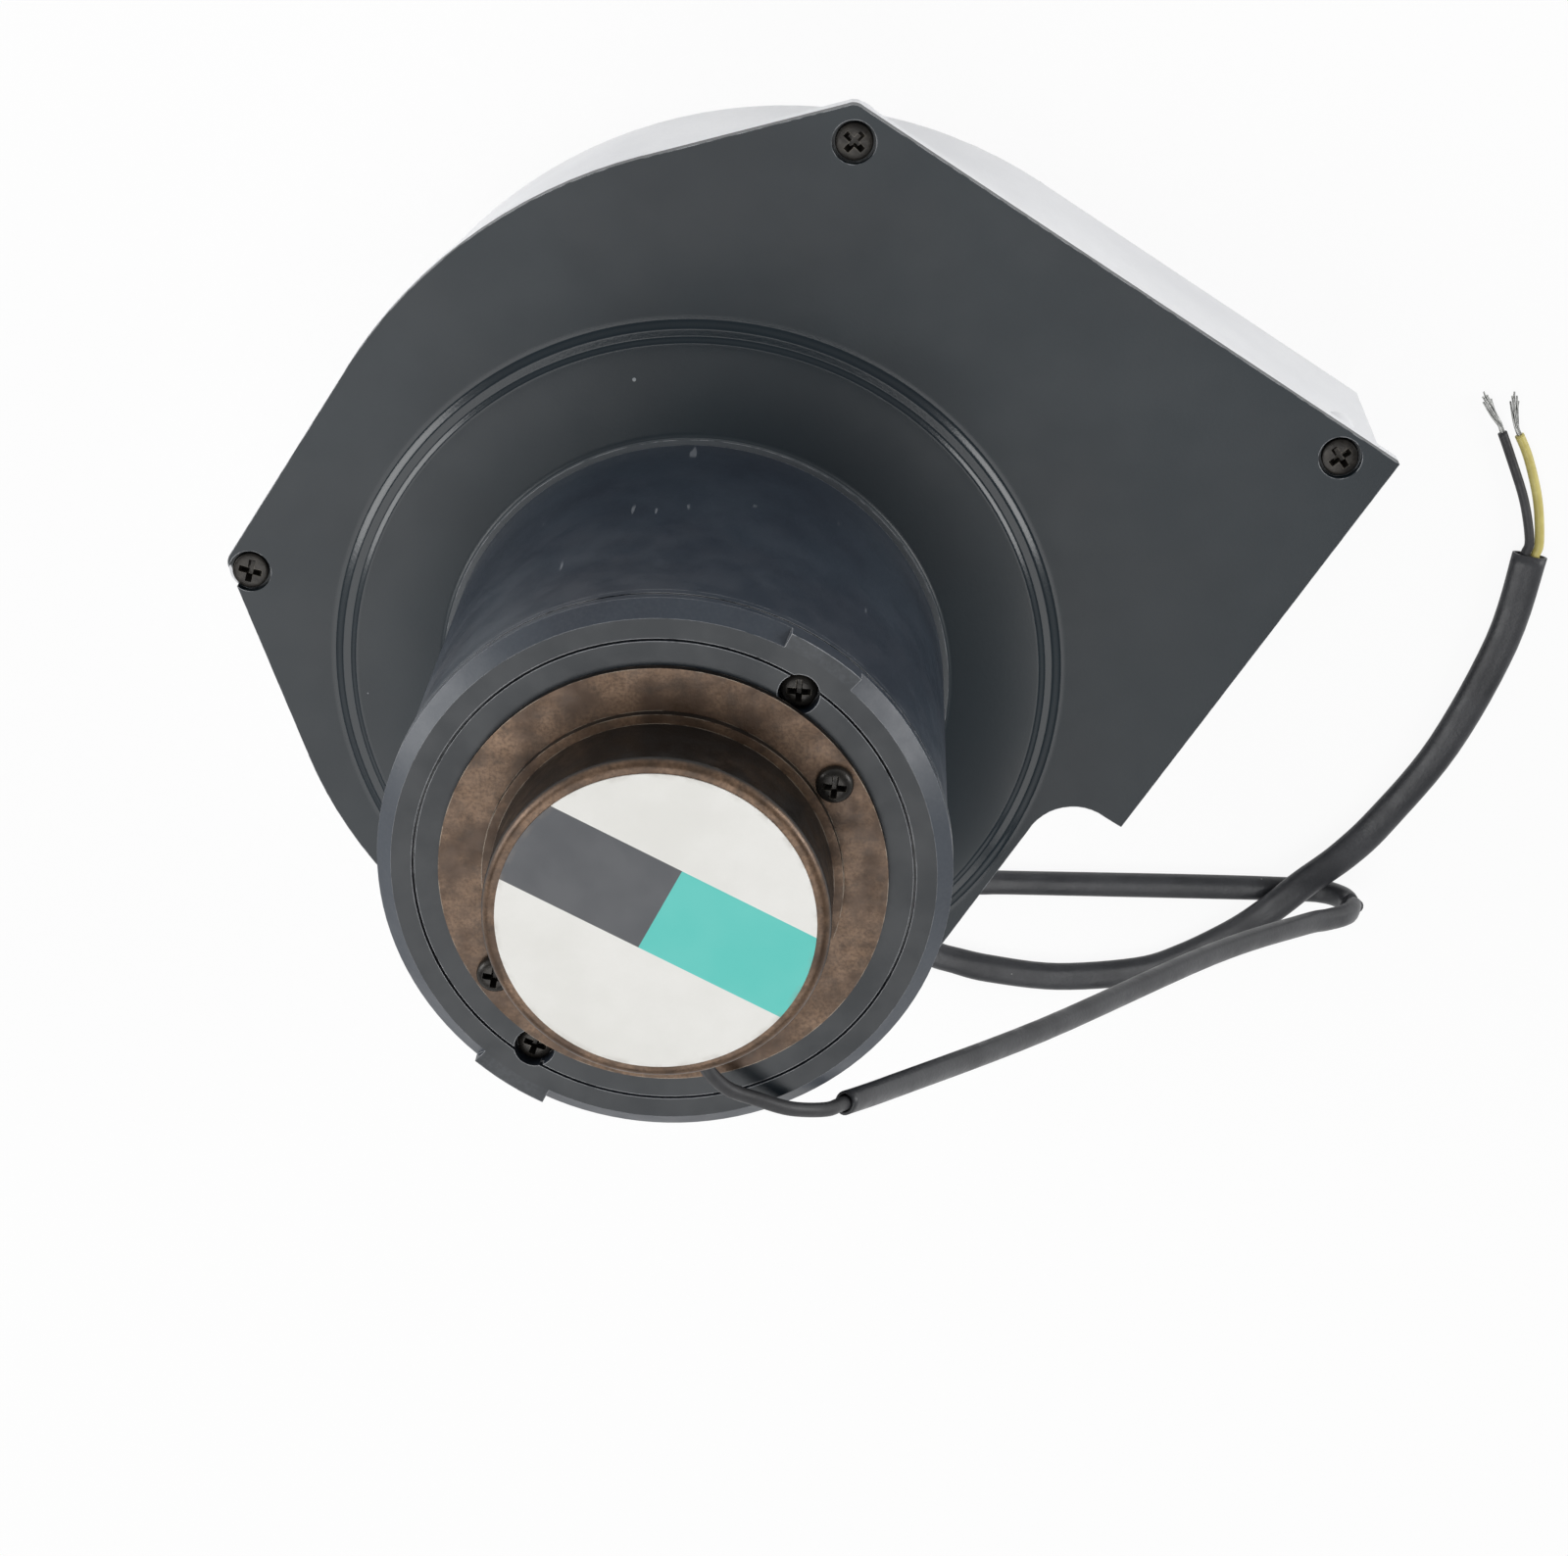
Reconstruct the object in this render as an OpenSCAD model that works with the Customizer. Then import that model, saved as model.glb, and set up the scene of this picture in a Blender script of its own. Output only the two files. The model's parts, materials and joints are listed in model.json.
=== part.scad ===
// Centrifugal blower: a die-cast scroll with its motor standing on the motor plate.
// The origin is the centre of the inlet face, on which the blower stands. +Z runs along the
// shaft to the motor, +X is right and +Y is up as the label is faced. Millimetres.

/* [Scroll casing] */
// Direction of the outlet, in degrees from +X
outlet_angle = -33.2; // [-180:0.1:180]
// Depth from the inlet face to the outer face of the motor plate
casing_depth = 54; // [52:0.5:70]
// Wall of the pan
pan_wall = 2; // [1.5:0.1:3]
// Thickness of the flange round the pan's open side
flange_t = 2.4; // [1.6:0.1:4]
// Reach of the flange past the pan's wall
flange_reach = 4.2; // [3.6:0.1:7]
// Outer rounding of the pan's floor edge
pan_round = 8; // [4:0.5:9]
// Flange radius of the large arc of the volute
volute_r_large = 83; // [80:0.5:90]
// Flange radius of the middle arc of the volute
volute_r_mid = 72; // [69:0.5:78]
// Centre of the large arc from the shaft, along the outlet
volute_u = 8.2; // [6:0.1:10]
// Centre of the large arc from the shaft, across the outlet
volute_v = 11.9; // [10:0.1:14]
// Angle at which the large arc meets the middle arc
volute_joint = 204; // [196:1:212]
// Gap between the impeller and the wall beside the tongue
tongue_gap = 5.5; // [4:0.1:8]
// Radius of the notch in the flange under the tongue
tongue_r = 8.5; // [6:0.1:11]
// Distance from the shaft to the outlet mouth
mouth_u = 74.3; // [72:0.1:84]
// Reach of the flange past the upper wall of the outlet
mouth_reach = 2.4; // [2:0.1:4]
// Lower edge of the flange at the outlet, across the shaft
mouth_low = 16.3; // [14:0.1:22]
// Rounding of the flange's ears
ear_round = 2.4; // [1:0.1:4]
// Radius of the screw bosses under the flange
boss_r = 3.8; // [3.2:0.1:5]
// Length of the screw bosses under the flange
boss_len = 11; // [9:0.5:20]

/* [Motor plate] */
// Thickness of the motor plate
plate_t = 2; // [1.5:0.1:3]
// Radius of the raised ring
bead_r = 58; // [56:0.5:62]
// Width of the raised ring
bead_w = 4.4; // [3:0.1:6]
// Height of the raised ring
bead_h = 1.3; // [0.8:0.1:2]
// Radius at which the flare to the motor starts
flare_r = 52; // [50:0.5:54]
// Height of the flare
flare_h = 4.9; // [3:0.1:8]
// Radius of the dimple round each plate screw
dimple_r = 3.5; // [3.1:0.1:4]

/* [Inlet] */
// Radius of the inlet throat
inlet_r = 36; // [30:0.5:37]
// Radius of the bell at the inlet
bell_r = 6; // [4:0.5:6]
// Sheet of the inlet ring
ring_t = 1.2; // [0.8:0.1:1.6]
// Length of the straight throat
throat_len = 2; // [1:0.5:3]
// Width of the inlet ring's flange
ring_reach = 8; // [7.5:0.5:9]
// Radius of the tapped mounting holes
mount_hole_r = 1.65; // [1.2:0.05:2]
// Number of mounting holes, and of rivets between them
mount_count = 4; // [3:1:6]
// Radius of the rivets
rivet_r = 1.2; // [0.9:0.1:1.4]
// Play round the inlet ring's flange
ring_play = 0.3; // [0.2:0.1:0.6]

/* [Impeller] */
// Outer diameter of the impeller
impeller_d = 100; // [94:0.5:104]
// Width of the impeller
impeller_w = 40; // [36:0.5:41]
// Gap from the pan's floor to the impeller
impeller_gap = 4.5; // [4:0.1:6]
// Radial depth of the vanes
vane_depth = 9; // [7:0.5:9.5]
// Number of vanes
vane_count = 40; // [24:1:48]
// Radius of a vane's curve
vane_r = 7.5; // [6.5:0.1:10]
// Thickness of a vane
vane_t = 0.7; // [0.5:0.05:1]
// Thickness of the back disc and of the eye ring
disc_t = 1; // [0.8:0.1:1.5]
// Radius of the hub's sleeve
hub_r = 9; // [8:0.1:11]
// Length of the hub's sleeve
hub_len = 19; // [16:0.5:24]
// Radius of the hub's flange
hub_flange_r = 18; // [17:0.5:22]
// Thickness of the hub's flange
hub_flange_t = 2; // [1.5:0.1:3]

/* [Motor] */
// Radius of the motor case at the plate
case_root_r = 40.7; // [40:0.1:41.5]
// Radius of the motor case below its rim
case_r = 41.1; // [40.6:0.1:41.4]
// Radius of the rim
rim_r = 41.7; // [41.5:0.1:43]
// Height of the rim's bevel
bevel_h = 2.3; // [1.5:0.1:3]
// Length of the motor case
case_len = 75.9; // [74:0.1:90]
// Radius of the bore that holds the stator
case_bore_r = 36.4; // [35:0.1:37]
// Floor of the motor case
case_floor = 4; // [3.5:0.1:6]
// Angle of the first rim lug
lug_angle = 55.5; // [0:0.5:179]
// Half angle of a rim lug
lug_half = 8.2; // [6:0.1:12]
// Thickness of the front bracket
bracket_t = 6; // [5:0.1:8]
// Width of the line between the rim and the bracket
bracket_line = 0.4; // [0.2:0.05:0.6]
// Distance of the bracket screws from the shaft
bracket_screw_at = 34.3; // [33:0.1:34.3]
// Radius of the counterbore over a bracket screw
bracket_bore_r = 3; // [2.8:0.1:3.4]
// Depth of the counterbore over a bracket screw
bracket_bore_h = 3; // [2.4:0.1:3.5]
// Length of the stator and rotor stacks
stack_len = 34; // [30:0.5:36]
// Radius of the stator's bore
stator_bore_r = 22; // [20:0.1:23]
// Number of stator slots
slot_count = 24; // [12:6:30]
// Gap between rotor and stator
air_gap = 0.4; // [0.3:0.05:0.6]
// Number of bars in the rotor's cage
bar_count = 17; // [11:1:22]

/* [Shaft and bearings] */
// Radius of the shaft in the bearings
shaft_r = 5; // [4.5:0.1:5.5]
// Radius of the shaft in the rotor
shaft_core_r = 6.5; // [6:0.1:8]
// Radius of the shaft in the impeller hub
shaft_end_r = 4; // [3.5:0.1:4.5]
// Outer radius of the bearings
bearing_r = 13; // [12.5:0.1:14]
// Width of the bearings
bearing_w = 8; // [7:0.5:9]
// Radius of the bearing balls
ball_r = 2.3; // [2:0.1:2.4]
// Number of balls in a bearing
ball_count = 7; // [6:1:8]

/* [End cover] */
// Radius of the end cover's flange
cover_flange_r = 32.4; // [31:0.1:33]
// Sheet of the end cover
cover_t = 1.2; // [0.8:0.1:1.5]
// Radius of the end cover's drum
cover_r = 24.6; // [23.5:0.1:25.2]
// Radius of the step at the foot of the drum
cover_step_r = 26; // [25.4:0.1:26.2]
// Height of the step above the flange
cover_step_h = 1.4; // [0.8:0.1:2.5]
// Height of the end cover above the motor's face
cover_h = 15.8; // [14:0.1:20]
// Rounding of the drum's edge
cover_round = 1.4; // [0.8:0.1:2]
// Radius of the label disc
label_r = 22.6; // [20:0.1:23]
// Thickness of the label disc
label_t = 0.25; // [0.2:0.05:0.5]
// Angle of the first end cover screw
cover_screw_angle = 32; // [20:1:45]
// Distance of the end cover screws from the shaft
cover_screw_at = 29; // [28.8:0.1:29.2]
// Angle at which the lead leaves the end cover
lead_angle = 283; // [270:1:300]

/* [Lead] */
// Diameter of the round lead
lead_d = 2.2; // [2:0.1:3]
// Width of the sleeve where the lead goes in
sleeve_start_w = 3.9; // [3.4:0.1:5]
// Height of the sleeve where the lead goes in
sleeve_start_h = 3.4; // [3:0.1:4]
// Width of the sleeve where the wires come out
sleeve_end_w = 6.4; // [5:0.1:7]
// Height of the sleeve where the wires come out
sleeve_end_h = 3; // [2.6:0.1:3.4]
// Diameter of a wire
wire_d = 1.7; // [1.2:0.1:2]
// Diameter of a bared wire end
strand_d = 1.1; // [0.8:0.1:1.3]
// Wall of the grommet round the lead
grommet_t = 0.8; // [0.5:0.1:1]
// Play of the lead in the grommet
lead_play = 0.2; // [0.1:0.05:0.3]
// Height of the lead above the motor's face where it leaves the end cover
lead_h = 6.5; // [6:0.1:8]

/* [Screws] */
// Radius of the shank of the small screws
screw_r = 1.5; // [1.2:0.1:1.7]
// Head radius of the small screws
head_r = 2.7; // [2.4:0.1:2.8]
// Head height of the small screws
head_h = 1.9; // [1.4:0.1:2]
// Head radius of the flat plate screws
flat_head_r = 3; // [2.6:0.1:3.1]
// Head height of the flat plate screws
flat_head_h = 1.4; // [1:0.1:1.4]
// Distance of the motor screws from the shaft
motor_screw_at = 27; // [25:0.5:30]
// Number of motor screws
motor_screw_count = 4; // [3:1:4]
// Length of a motor screw under its head
motor_screw_len = 5; // [4.5:0.1:5.4]

/* [Hidden] */
$fn = 72;
eps = 0.01;
// Clearance of a seated piece, and of a screw in its hole
seat = 0.03;
// Room between a bearing ball and the inner ring's groove
ball_room = 0.15;
// Step between two stretches of an outline that would otherwise run smoothly into each other
step = 0.03;

// Heights along the shaft
flange_top = casing_depth - plate_t;
seat_z = casing_depth + flare_h;
face_z = seat_z + case_len;
cover_top = face_z + cover_h;
impeller_z = pan_wall + impeller_gap;
disc_z = impeller_z + impeller_w - disc_t;
hub_z = disc_z - hub_len;
bearing_lip = 1.5;
rear_bearing_z = seat_z + bearing_lip;
front_bearing_z = face_z - bearing_w;
washer_t = 0.5;
lug_boss_h = 5.5;
stack_z = (rear_bearing_z + front_bearing_z + bearing_w - stack_len) / 2;

// The volute in outlet coordinates: u along the outlet, v across it
joint_low = volute_joint + 90;
tongue_u = impeller_d / 2 + tongue_gap + pan_wall + flange_reach;
c_large = [volute_u, volute_v];
c_mid = c_large + polar(volute_r_large - volute_r_mid - step, volute_joint);
volute_r_small = (tongue_u - c_mid[0] - (volute_r_mid - step) * cos(joint_low)) / (1 - cos(joint_low));
c_small = c_mid + polar(volute_r_mid - step - volute_r_small, joint_low);
tongue_c = [tongue_u + tongue_r, mouth_low - tongue_r];
// Play of the floor edge's rounding, and half the length of the joints in it
edge_slack = 0.02;
edge_joint = 0.35;

// Ears of the flange: where tangents of the volute's arcs meet
left_tangent = 232;
top_tangent = 138;
mouth_high = volute_v + volute_r_large - flange_reach + mouth_reach;
ear_top_foot = c_large + polar(volute_r_large, top_tangent);
ear_top = ear_top_foot + polar((mouth_high - ear_top_foot[1]) / sin(top_tangent - 90), top_tangent - 90);
ear_left_foot = c_mid + polar(volute_r_mid, left_tangent);
ear_left_u = c_large[0] - volute_r_large;
ear_left = [ear_left_u, ear_left_foot[1] - (ear_left_u - ear_left_foot[0]) / tan(left_tangent)];
ear_low_v = c_mid[1] - volute_r_mid;
ear_low_run = 44.4;
ear_low_slope = 38;
ear_low_foot = [tongue_u, ear_low_v + ear_low_run];
ear_low = [tongue_u - ear_low_run * tan(ear_low_slope), ear_low_v];
mouth_corner = [mouth_u, mouth_high];
// Plate screws, each from the tip of its ear
plate_screw_at = [ear_left + [4.2, 0.6], ear_top + [3.1, -5.2], mouth_corner + [-8.5, -4.4],
    ear_low + [-0.6, 4.2]];

// Route of the lead: out of the grommet, over the rim and up to the sleeve
lead_route = [[4.05, -17.54, 141.3], [5.5, -23.8, 141.3], [6.4, -27.7, 141.3], [9.2, -31.7, 139.9],
    [13.4, -34.4, 138], [18.3, -36.8, 136.4], [23.4, -39.1, 132.3], [26.15, -40.28, 128.08]];
// Route of the sleeve: down to the table, folded back under itself, a loop and out to the right
sleeve_route = [[26.2, -40.3, 128], [34, -43.5, 116], [57.7, -51.1, 82], [88.5, -56.1, 42.5],
    [106.6, -60.2, 21.4], [111.8, -61.6, 16], [115.3, -62.2, 12.7], [117, -62.4, 9.9],
    [117, -62.5, 6.5], [115.3, -62.5, 3.7], [112.5, -62.4, 2], [108.8, -62.2, 1.8],
    [92, -61.9, 1.8], [57, -61.7, 1.8], [49.6, -61.7, 1.8], [44.6, -61.7, 1.8],
    [40.6, -62.8, 1.8], [37.7, -65.7, 1.8], [36.6, -69.7, 1.8], [37.7, -73.7, 1.8],
    [40.6, -76.6, 1.8], [44.8, -78, 1.8], [51.4, -79.6, 1.8], [64, -81, 1.8], [78.9, -79.6, 1.8],
    [87.5, -76.5, 1.9], [95.3, -71.6, 3], [102, -65.4, 5.2], [108.5, -59.4, 5.3], [115.9, -54.2, 3.4],
    [122.5, -47.6, 2], [132.8, -32.8, 1.8], [141.6, -12.6, 1.8], [145.2, 4, 1.8]];
// Routes of the two wires that come out of the sleeve, and of their bared ends
black_route = [[144.33, 4.21, 1.8], [144.89, 6.81, 1.8], [143.4, 14, 1.4], [140.4, 22, 1.2],
    [138.6, 26.4, 1.2]];
yellow_route = [[146.09, 3.83, 1.8], [146.65, 6.42, 1.8], [145.8, 14, 1.4], [143.6, 21.6, 1.2],
    [141.6, 26, 1.2]];
strand_routes = [[[138.59, 26.42, 1.2], [138, 27.9, 1.2], [136.8, 29.8, 1.2], [135.2, 32.8, 1]],
    [[141.59, 26.02, 1.2], [141, 27.4, 1.2], [140.6, 29.6, 1.2], [140.2, 32.8, 1]]];

function polar(r, a) = [r * cos(a), r * sin(a)];
function unit(p) = p / norm(p);

// Half the angle between the two sides that meet at a corner
function half_angle(tip, a, b) = acos(unit(a - tip) * unit(b - tip)) / 2;
// Where the rounding of a corner starts and ends, and its centre
function corner_ends(tip, a, b, r) =
    let (run = r / tan(half_angle(tip, a, b)), c = corner_centre(tip, a, b, r))
    [for (side = [a, b]) let (end = tip + unit(side - tip) * run) end + unit(c - end) * step];
function corner_centre(tip, a, b, r) =
    tip + unit(unit(a - tip) + unit(b - tip)) * r / sin(half_angle(tip, a, b));

// Point a small step inside an arc
function in_arc(c, r, a) = c + polar(r - step, a);

// Catmull-Rom point between p[i] and p[i + 1]
function spline_at(p, i, t) =
    let (n = len(p) - 1, a = p[max(i - 1, 0)], b = p[i], c = p[min(i + 1, n)], d = p[min(i + 2, n)])
    0.5 * (2 * b + (c - a) * t + (2 * a - 5 * b + 4 * c - d) * t * t + (3 * b - a - 3 * c + d) * t * t * t);
function spline(p, steps) =
    concat([for (i = [0:len(p) - 2]) for (k = [0:steps - 1]) spline_at(p, i, k / steps)], [p[len(p) - 1]]);

// Direction of a path at one of its points
function along(p, i) = unit(p[min(i + 1, len(p) - 1)] - p[max(i - 1, 0)]);
// Level directions across a path from its i-th point on, none of them turned over
function across(p, i, from) =
    let (level = unit(cross(along(p, i), [0, 0, 1])), side = level * from < 0 ? -level : level)
    i == len(p) - 1 ? [side] : concat([side], across(p, i + 1, side));

// Flat-lying elliptical tube along a route, with its width and height at both ends
module tube(route, from, to, sides, steps) {
    path = spline(route, steps);
    n = len(path);
    level = across(path, 0, cross(along(path, 0), [0, 0, 1]));
    rings = [for (i = [0:n - 1]) let (up = cross(level[i], along(path, i)),
        half = (from + (to - from) * i / (n - 1)) / 2)
        for (k = [0:sides - 1]) let (a = 360 * (k + 0.5) / sides)
            path[i] + level[i] * (half[0] * cos(a)) + up * (half[1] * sin(a))];
    walls = [for (i = [0:n - 2]) for (k = [0:sides - 1]) let (m = (k + 1) % sides)
        [i * sides + k, (i + 1) * sides + k, (i + 1) * sides + m, i * sides + m]];
    first = [for (k = [0:sides - 1]) k];
    last = [for (k = [sides - 1:-1:0]) (n - 1) * sides + k];
    polyhedron(points = rings, faces = concat(walls, [first], [last]), convexity = 10);
}

module in_outlet() {
    rotate([0, 0, outlet_angle]) children();
}

module at_polar(r, a, z) {
    rotate([0, 0, a]) translate([r, 0, z]) children();
}

module ring(r_out, r_in, h) {
    difference() {
        cylinder(r = r_out, h = h);
        translate([0, 0, -eps]) cylinder(r = r_in, h = h + 2 * eps);
    }
}

// Slice of a disc from its centre
module sector(r, a0, a1) {
    reach = 3 * r;
    mid = (a0 + a1) / 2;
    intersection() {
        circle(r = r);
        polygon([[0, 0], polar(reach, a0), polar(reach, mid), polar(reach, a1)]);
    }
}

// Outline of the flange and of the motor plate, in outlet coordinates
module flange_outline() {
    top_ends = corner_ends(ear_top, mouth_corner, ear_top_foot, ear_round);
    left_ends = corner_ends(ear_left, [ear_left_u, c_large[1]], ear_left_foot, ear_round);
    low_ends = corner_ends(ear_low, [c_mid[0], ear_low_v], ear_low_foot, ear_round);
    difference() {
        union() {
            polygon([mouth_corner, top_ends[0], top_ends[1],
                in_arc(c_large, volute_r_large, top_tangent + 1), in_arc(c_large, volute_r_large, 179),
                left_ends[0], left_ends[1], in_arc(c_mid, volute_r_mid, left_tangent + 1),
                in_arc(c_mid, volute_r_mid, 269), low_ends[0], low_ends[1], ear_low_foot,
                [tongue_u + step, tongue_c[1]], tongue_c, [tongue_c[0], mouth_low - step],
                [mouth_u, mouth_low]]);
            translate(c_large) sector(volute_r_large, top_tangent, 180);
            translate(c_mid) sector(volute_r_mid, left_tangent, 270);
            translate(corner_centre(ear_top, mouth_corner, ear_top_foot, ear_round)) circle(r = ear_round);
            translate(corner_centre(ear_left, [ear_left_u, c_large[1]], ear_left_foot, ear_round))
                circle(r = ear_round);
            translate(corner_centre(ear_low, [c_mid[0], ear_low_v], ear_low_foot, ear_round))
                circle(r = ear_round);
        }
        translate(tongue_c) circle(r = tongue_r);
    }
}

// Outline of the scroll at a given distance inside the flange's edge, open at the mouth
module scroll_outline(inset, u_end) {
    duct_low = mouth_low + inset;
    duct_high = c_large[1] + volute_r_large - inset;
    side_u = tongue_u - inset;
    difference() {
        union() {
            polygon([[c_large[0] - 1, duct_high - step],
                c_large + polar(volute_r_large - inset - 1, volute_joint),
                c_mid + polar(volute_r_mid - inset - 1, joint_low), [side_u - step, c_small[1] - 1],
                [side_u + step, tongue_c[1]], tongue_c, [tongue_c[0], duct_low - step],
                [u_end, duct_low], [u_end, duct_high]]);
            translate(c_large) sector(volute_r_large - inset, 90, volute_joint);
            translate(c_mid) sector(volute_r_mid - inset, volute_joint - 1, joint_low);
            translate(c_small) sector(volute_r_small - inset, joint_low - 1, 360);
        }
        translate(tongue_c) circle(r = tongue_r + inset);
    }
}

// Section of what the rounding takes off a floor edge: the wall is at x = 0 and the floor at y = 0
module edge_section(slack) {
    difference() {
        translate([-pan_round, -1]) square([pan_round + 1, pan_round + 1]);
        translate([slack - pan_round, pan_round - slack]) circle(r = pan_round);
    }
}

// Rounding along an arc, a straight stretch and the short joint between two stretches
module edge_arc(c, r, a0, a1) {
    short = edge_joint / r * 180 / PI;
    translate([c[0], c[1], 0]) rotate([0, 0, a0 + short]) rotate_extrude(angle = a1 - a0 - 2 * short)
        translate([r, 0]) edge_section(edge_slack);
}

module edge_line(start, length, a) {
    translate([start[0], start[1], 0]) rotate([0, 0, a]) translate([0, -edge_joint, 0]) rotate([90, 0, 0])
        linear_extrude(length - 2 * edge_joint) edge_section(edge_slack);
}

module edge_link(at, a) {
    translate([at[0], at[1], 0]) rotate([0, 0, a]) translate([0, 2 * edge_joint, 0]) rotate([90, 0, 0])
        linear_extrude(4 * edge_joint) edge_section(3 * edge_slack);
}

// Rounds the floor edge of the pan that is drawn as its child
module round_floor_edge() {
    r_large = volute_r_large - flange_reach;
    r_mid = volute_r_mid - flange_reach;
    r_small = volute_r_small - flange_reach;
    side = [tongue_u - flange_reach, tongue_c[1]];
    top = c_large + [0, r_large];
    difference() {
        difference() {
            children();
            edge_arc(c_large, r_large, 90, volute_joint);
            edge_arc(c_mid, r_mid, volute_joint, joint_low);
            edge_arc(c_small, r_small, joint_low, 360);
            edge_line(side, side[1] - c_small[1], 0);
            edge_line(top, mouth_u + 3 - top[0], 90);
        }
        edge_link(top, 90);
        edge_link(c_large + polar(r_large, volute_joint), volute_joint);
        edge_link(c_mid + polar(r_mid, joint_low), joint_low);
    }
}

// Walls and floor of the pan, with a ledge along the floor's edge
module pan_shell() {
    ledge = 0.4 * pan_round;
    ledge_z = pan_wall + ledge;
    difference() {
        linear_extrude(ledge_z) scroll_outline(flange_reach, mouth_u);
        translate([0, 0, pan_wall]) linear_extrude(ledge_z)
            scroll_outline(flange_reach + pan_wall + ledge, mouth_u + 1);
    }
    translate([0, 0, ledge_z]) linear_extrude(flange_top - ledge_z) difference() {
        scroll_outline(flange_reach, mouth_u);
        scroll_outline(flange_reach + pan_wall, mouth_u + 1);
    }
}

module cross_recess(r, depth) {
    slot = 0.32 * r;
    for (a = [0, 90]) rotate([0, 0, a]) translate([-0.62 * r, -slot / 2, -depth])
        cube([1.24 * r, slot, depth + 1]);
}

// Screw with a round head, its head's underside at z = 0 and its shank below
module pan_screw(length) {
    difference() {
        union() {
            translate([0, 0, -length]) cylinder(r = screw_r, h = length + eps);
            cylinder(r = head_r, h = 0.6 * head_h);
            translate([0, 0, 0.6 * head_h]) cylinder(r1 = head_r, r2 = 0.72 * head_r, h = 0.4 * head_h);
        }
        translate([0, 0, head_h]) cross_recess(head_r, 0.6 * head_h);
    }
}

module at_plate_screws() {
    in_outlet() for (p = plate_screw_at) translate([p[0], p[1], 0]) children();
}

module at_mount_holes() {
    for (k = [0:mount_count - 1])
        at_polar(inlet_r + bell_r + 0.375 * ring_reach, 360 * k / mount_count, 0) children();
}

module at_rivets() {
    for (k = [0:mount_count - 1])
        at_polar(inlet_r + bell_r + 0.7 * ring_reach, 360 * (k + 0.5) / mount_count, 0) children();
}

module at_bracket_screws() {
    for (a = [lug_angle, lug_angle + 180]) at_polar(bracket_screw_at, a, 0) children();
}

module at_cover_screws() {
    for (a = [cover_screw_angle, cover_screw_angle + 180]) at_polar(cover_screw_at, a, 0) children();
}

module at_motor_screws() {
    for (k = [0:motor_screw_count - 1])
        at_polar(motor_screw_at, 360 * (k + 0.5) / motor_screw_count, 0) children();
}

module scroll_pan() {
    color([0.86, 0.87, 0.88]) difference() {
        union() {
            in_outlet() {
                round_floor_edge() pan_shell();
                translate([0, 0, flange_top - flange_t]) linear_extrude(flange_t) difference() {
                    flange_outline();
                    scroll_outline(flange_reach + pan_wall, mouth_u + 1);
                }
            }
            at_plate_screws() translate([0, 0, flange_top - boss_len]) cylinder(r = boss_r, h = boss_len);
        }
        at_plate_screws() translate([0, 0, flange_top - boss_len + 2])
            cylinder(r = screw_r + seat, h = boss_len);
        translate([0, 0, -1]) cylinder(r = inlet_r + bell_r, h = pan_wall + 2);
        translate([0, 0, pan_wall])
            cylinder(r = inlet_r + bell_r + ring_reach + ring_play, h = ring_t + ring_play);
        at_mount_holes() translate([0, 0, -1]) cylinder(r = mount_hole_r, h = pan_wall + 2);
        at_rivets() translate([0, 0, -1]) cylinder(r = rivet_r + seat, h = pan_wall + 2);
    }
}

module motor_plate() {
    flare_curve = (pow(flare_r - case_r, 2) + pow(flare_h, 2)) / (2 * flare_h);
    color([0.27, 0.28, 0.3]) difference() {
        union() {
            in_outlet() translate([0, 0, flange_top]) linear_extrude(plate_t) difference() {
                flange_outline();
                circle(r = flare_r);
            }
            rotate_extrude() flare_section(flare_curve);
            rotate_extrude() bead_section();
        }
        at_plate_screws() {
            translate([0, 0, flange_top - 1]) cylinder(r = screw_r + seat, h = plate_t + 2);
            translate([0, 0, casing_depth - flat_head_h]) cylinder(r = dimple_r, h = flat_head_h + 1);
        }
        at_motor_screws() translate([0, 0, flange_top])
            cylinder(r = screw_r + seat, h = plate_t + flare_h + 1);
    }
}

// Sheet of the plate round the motor: flat under the motor, then a hollow flare down to the plate
module flare_section(curve) {
    hole_r = bearing_r - bearing_lip;
    centre = [flare_r, casing_depth + curve];
    intersection() {
        difference() {
            translate(centre) circle(r = curve + plate_t);
            translate(centre) circle(r = curve);
        }
        translate([case_r, flange_top]) square([flare_r - case_r + eps, seat_z - flange_top]);
    }
    translate([hole_r, seat_z - plate_t]) square([case_r - hole_r + plate_t / 4, plate_t]);
}

module bead_section() {
    rise = (pow(bead_w / 2, 2) + pow(bead_h, 2)) / (2 * bead_h);
    intersection() {
        translate([bead_r, casing_depth + bead_h - rise]) circle(r = rise);
        translate([bead_r - bead_w / 2, casing_depth - plate_t / 2]) square([bead_w, bead_h + plate_t]);
    }
}

module plate_screws() {
    color([0.18, 0.18, 0.17]) at_plate_screws() translate([0, 0, casing_depth]) difference() {
        union() {
            translate([0, 0, -flat_head_h]) cylinder(r = flat_head_r, h = flat_head_h - 0.2);
            translate([0, 0, -plate_t - boss_len + 3])
                cylinder(r = screw_r, h = plate_t + boss_len - 3 - flat_head_h);
        }
        translate([0, 0, -0.2]) cross_recess(flat_head_r, 0.9);
    }
}

module inlet_ring() {
    color([0.72, 0.73, 0.74]) difference() {
        rotate_extrude() bell_section();
        at_mount_holes() cylinder(r = mount_hole_r, h = pan_wall + 2 * ring_t);
        at_rivets() cylinder(r = rivet_r + seat, h = pan_wall + 2 * ring_t);
    }
}

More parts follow.
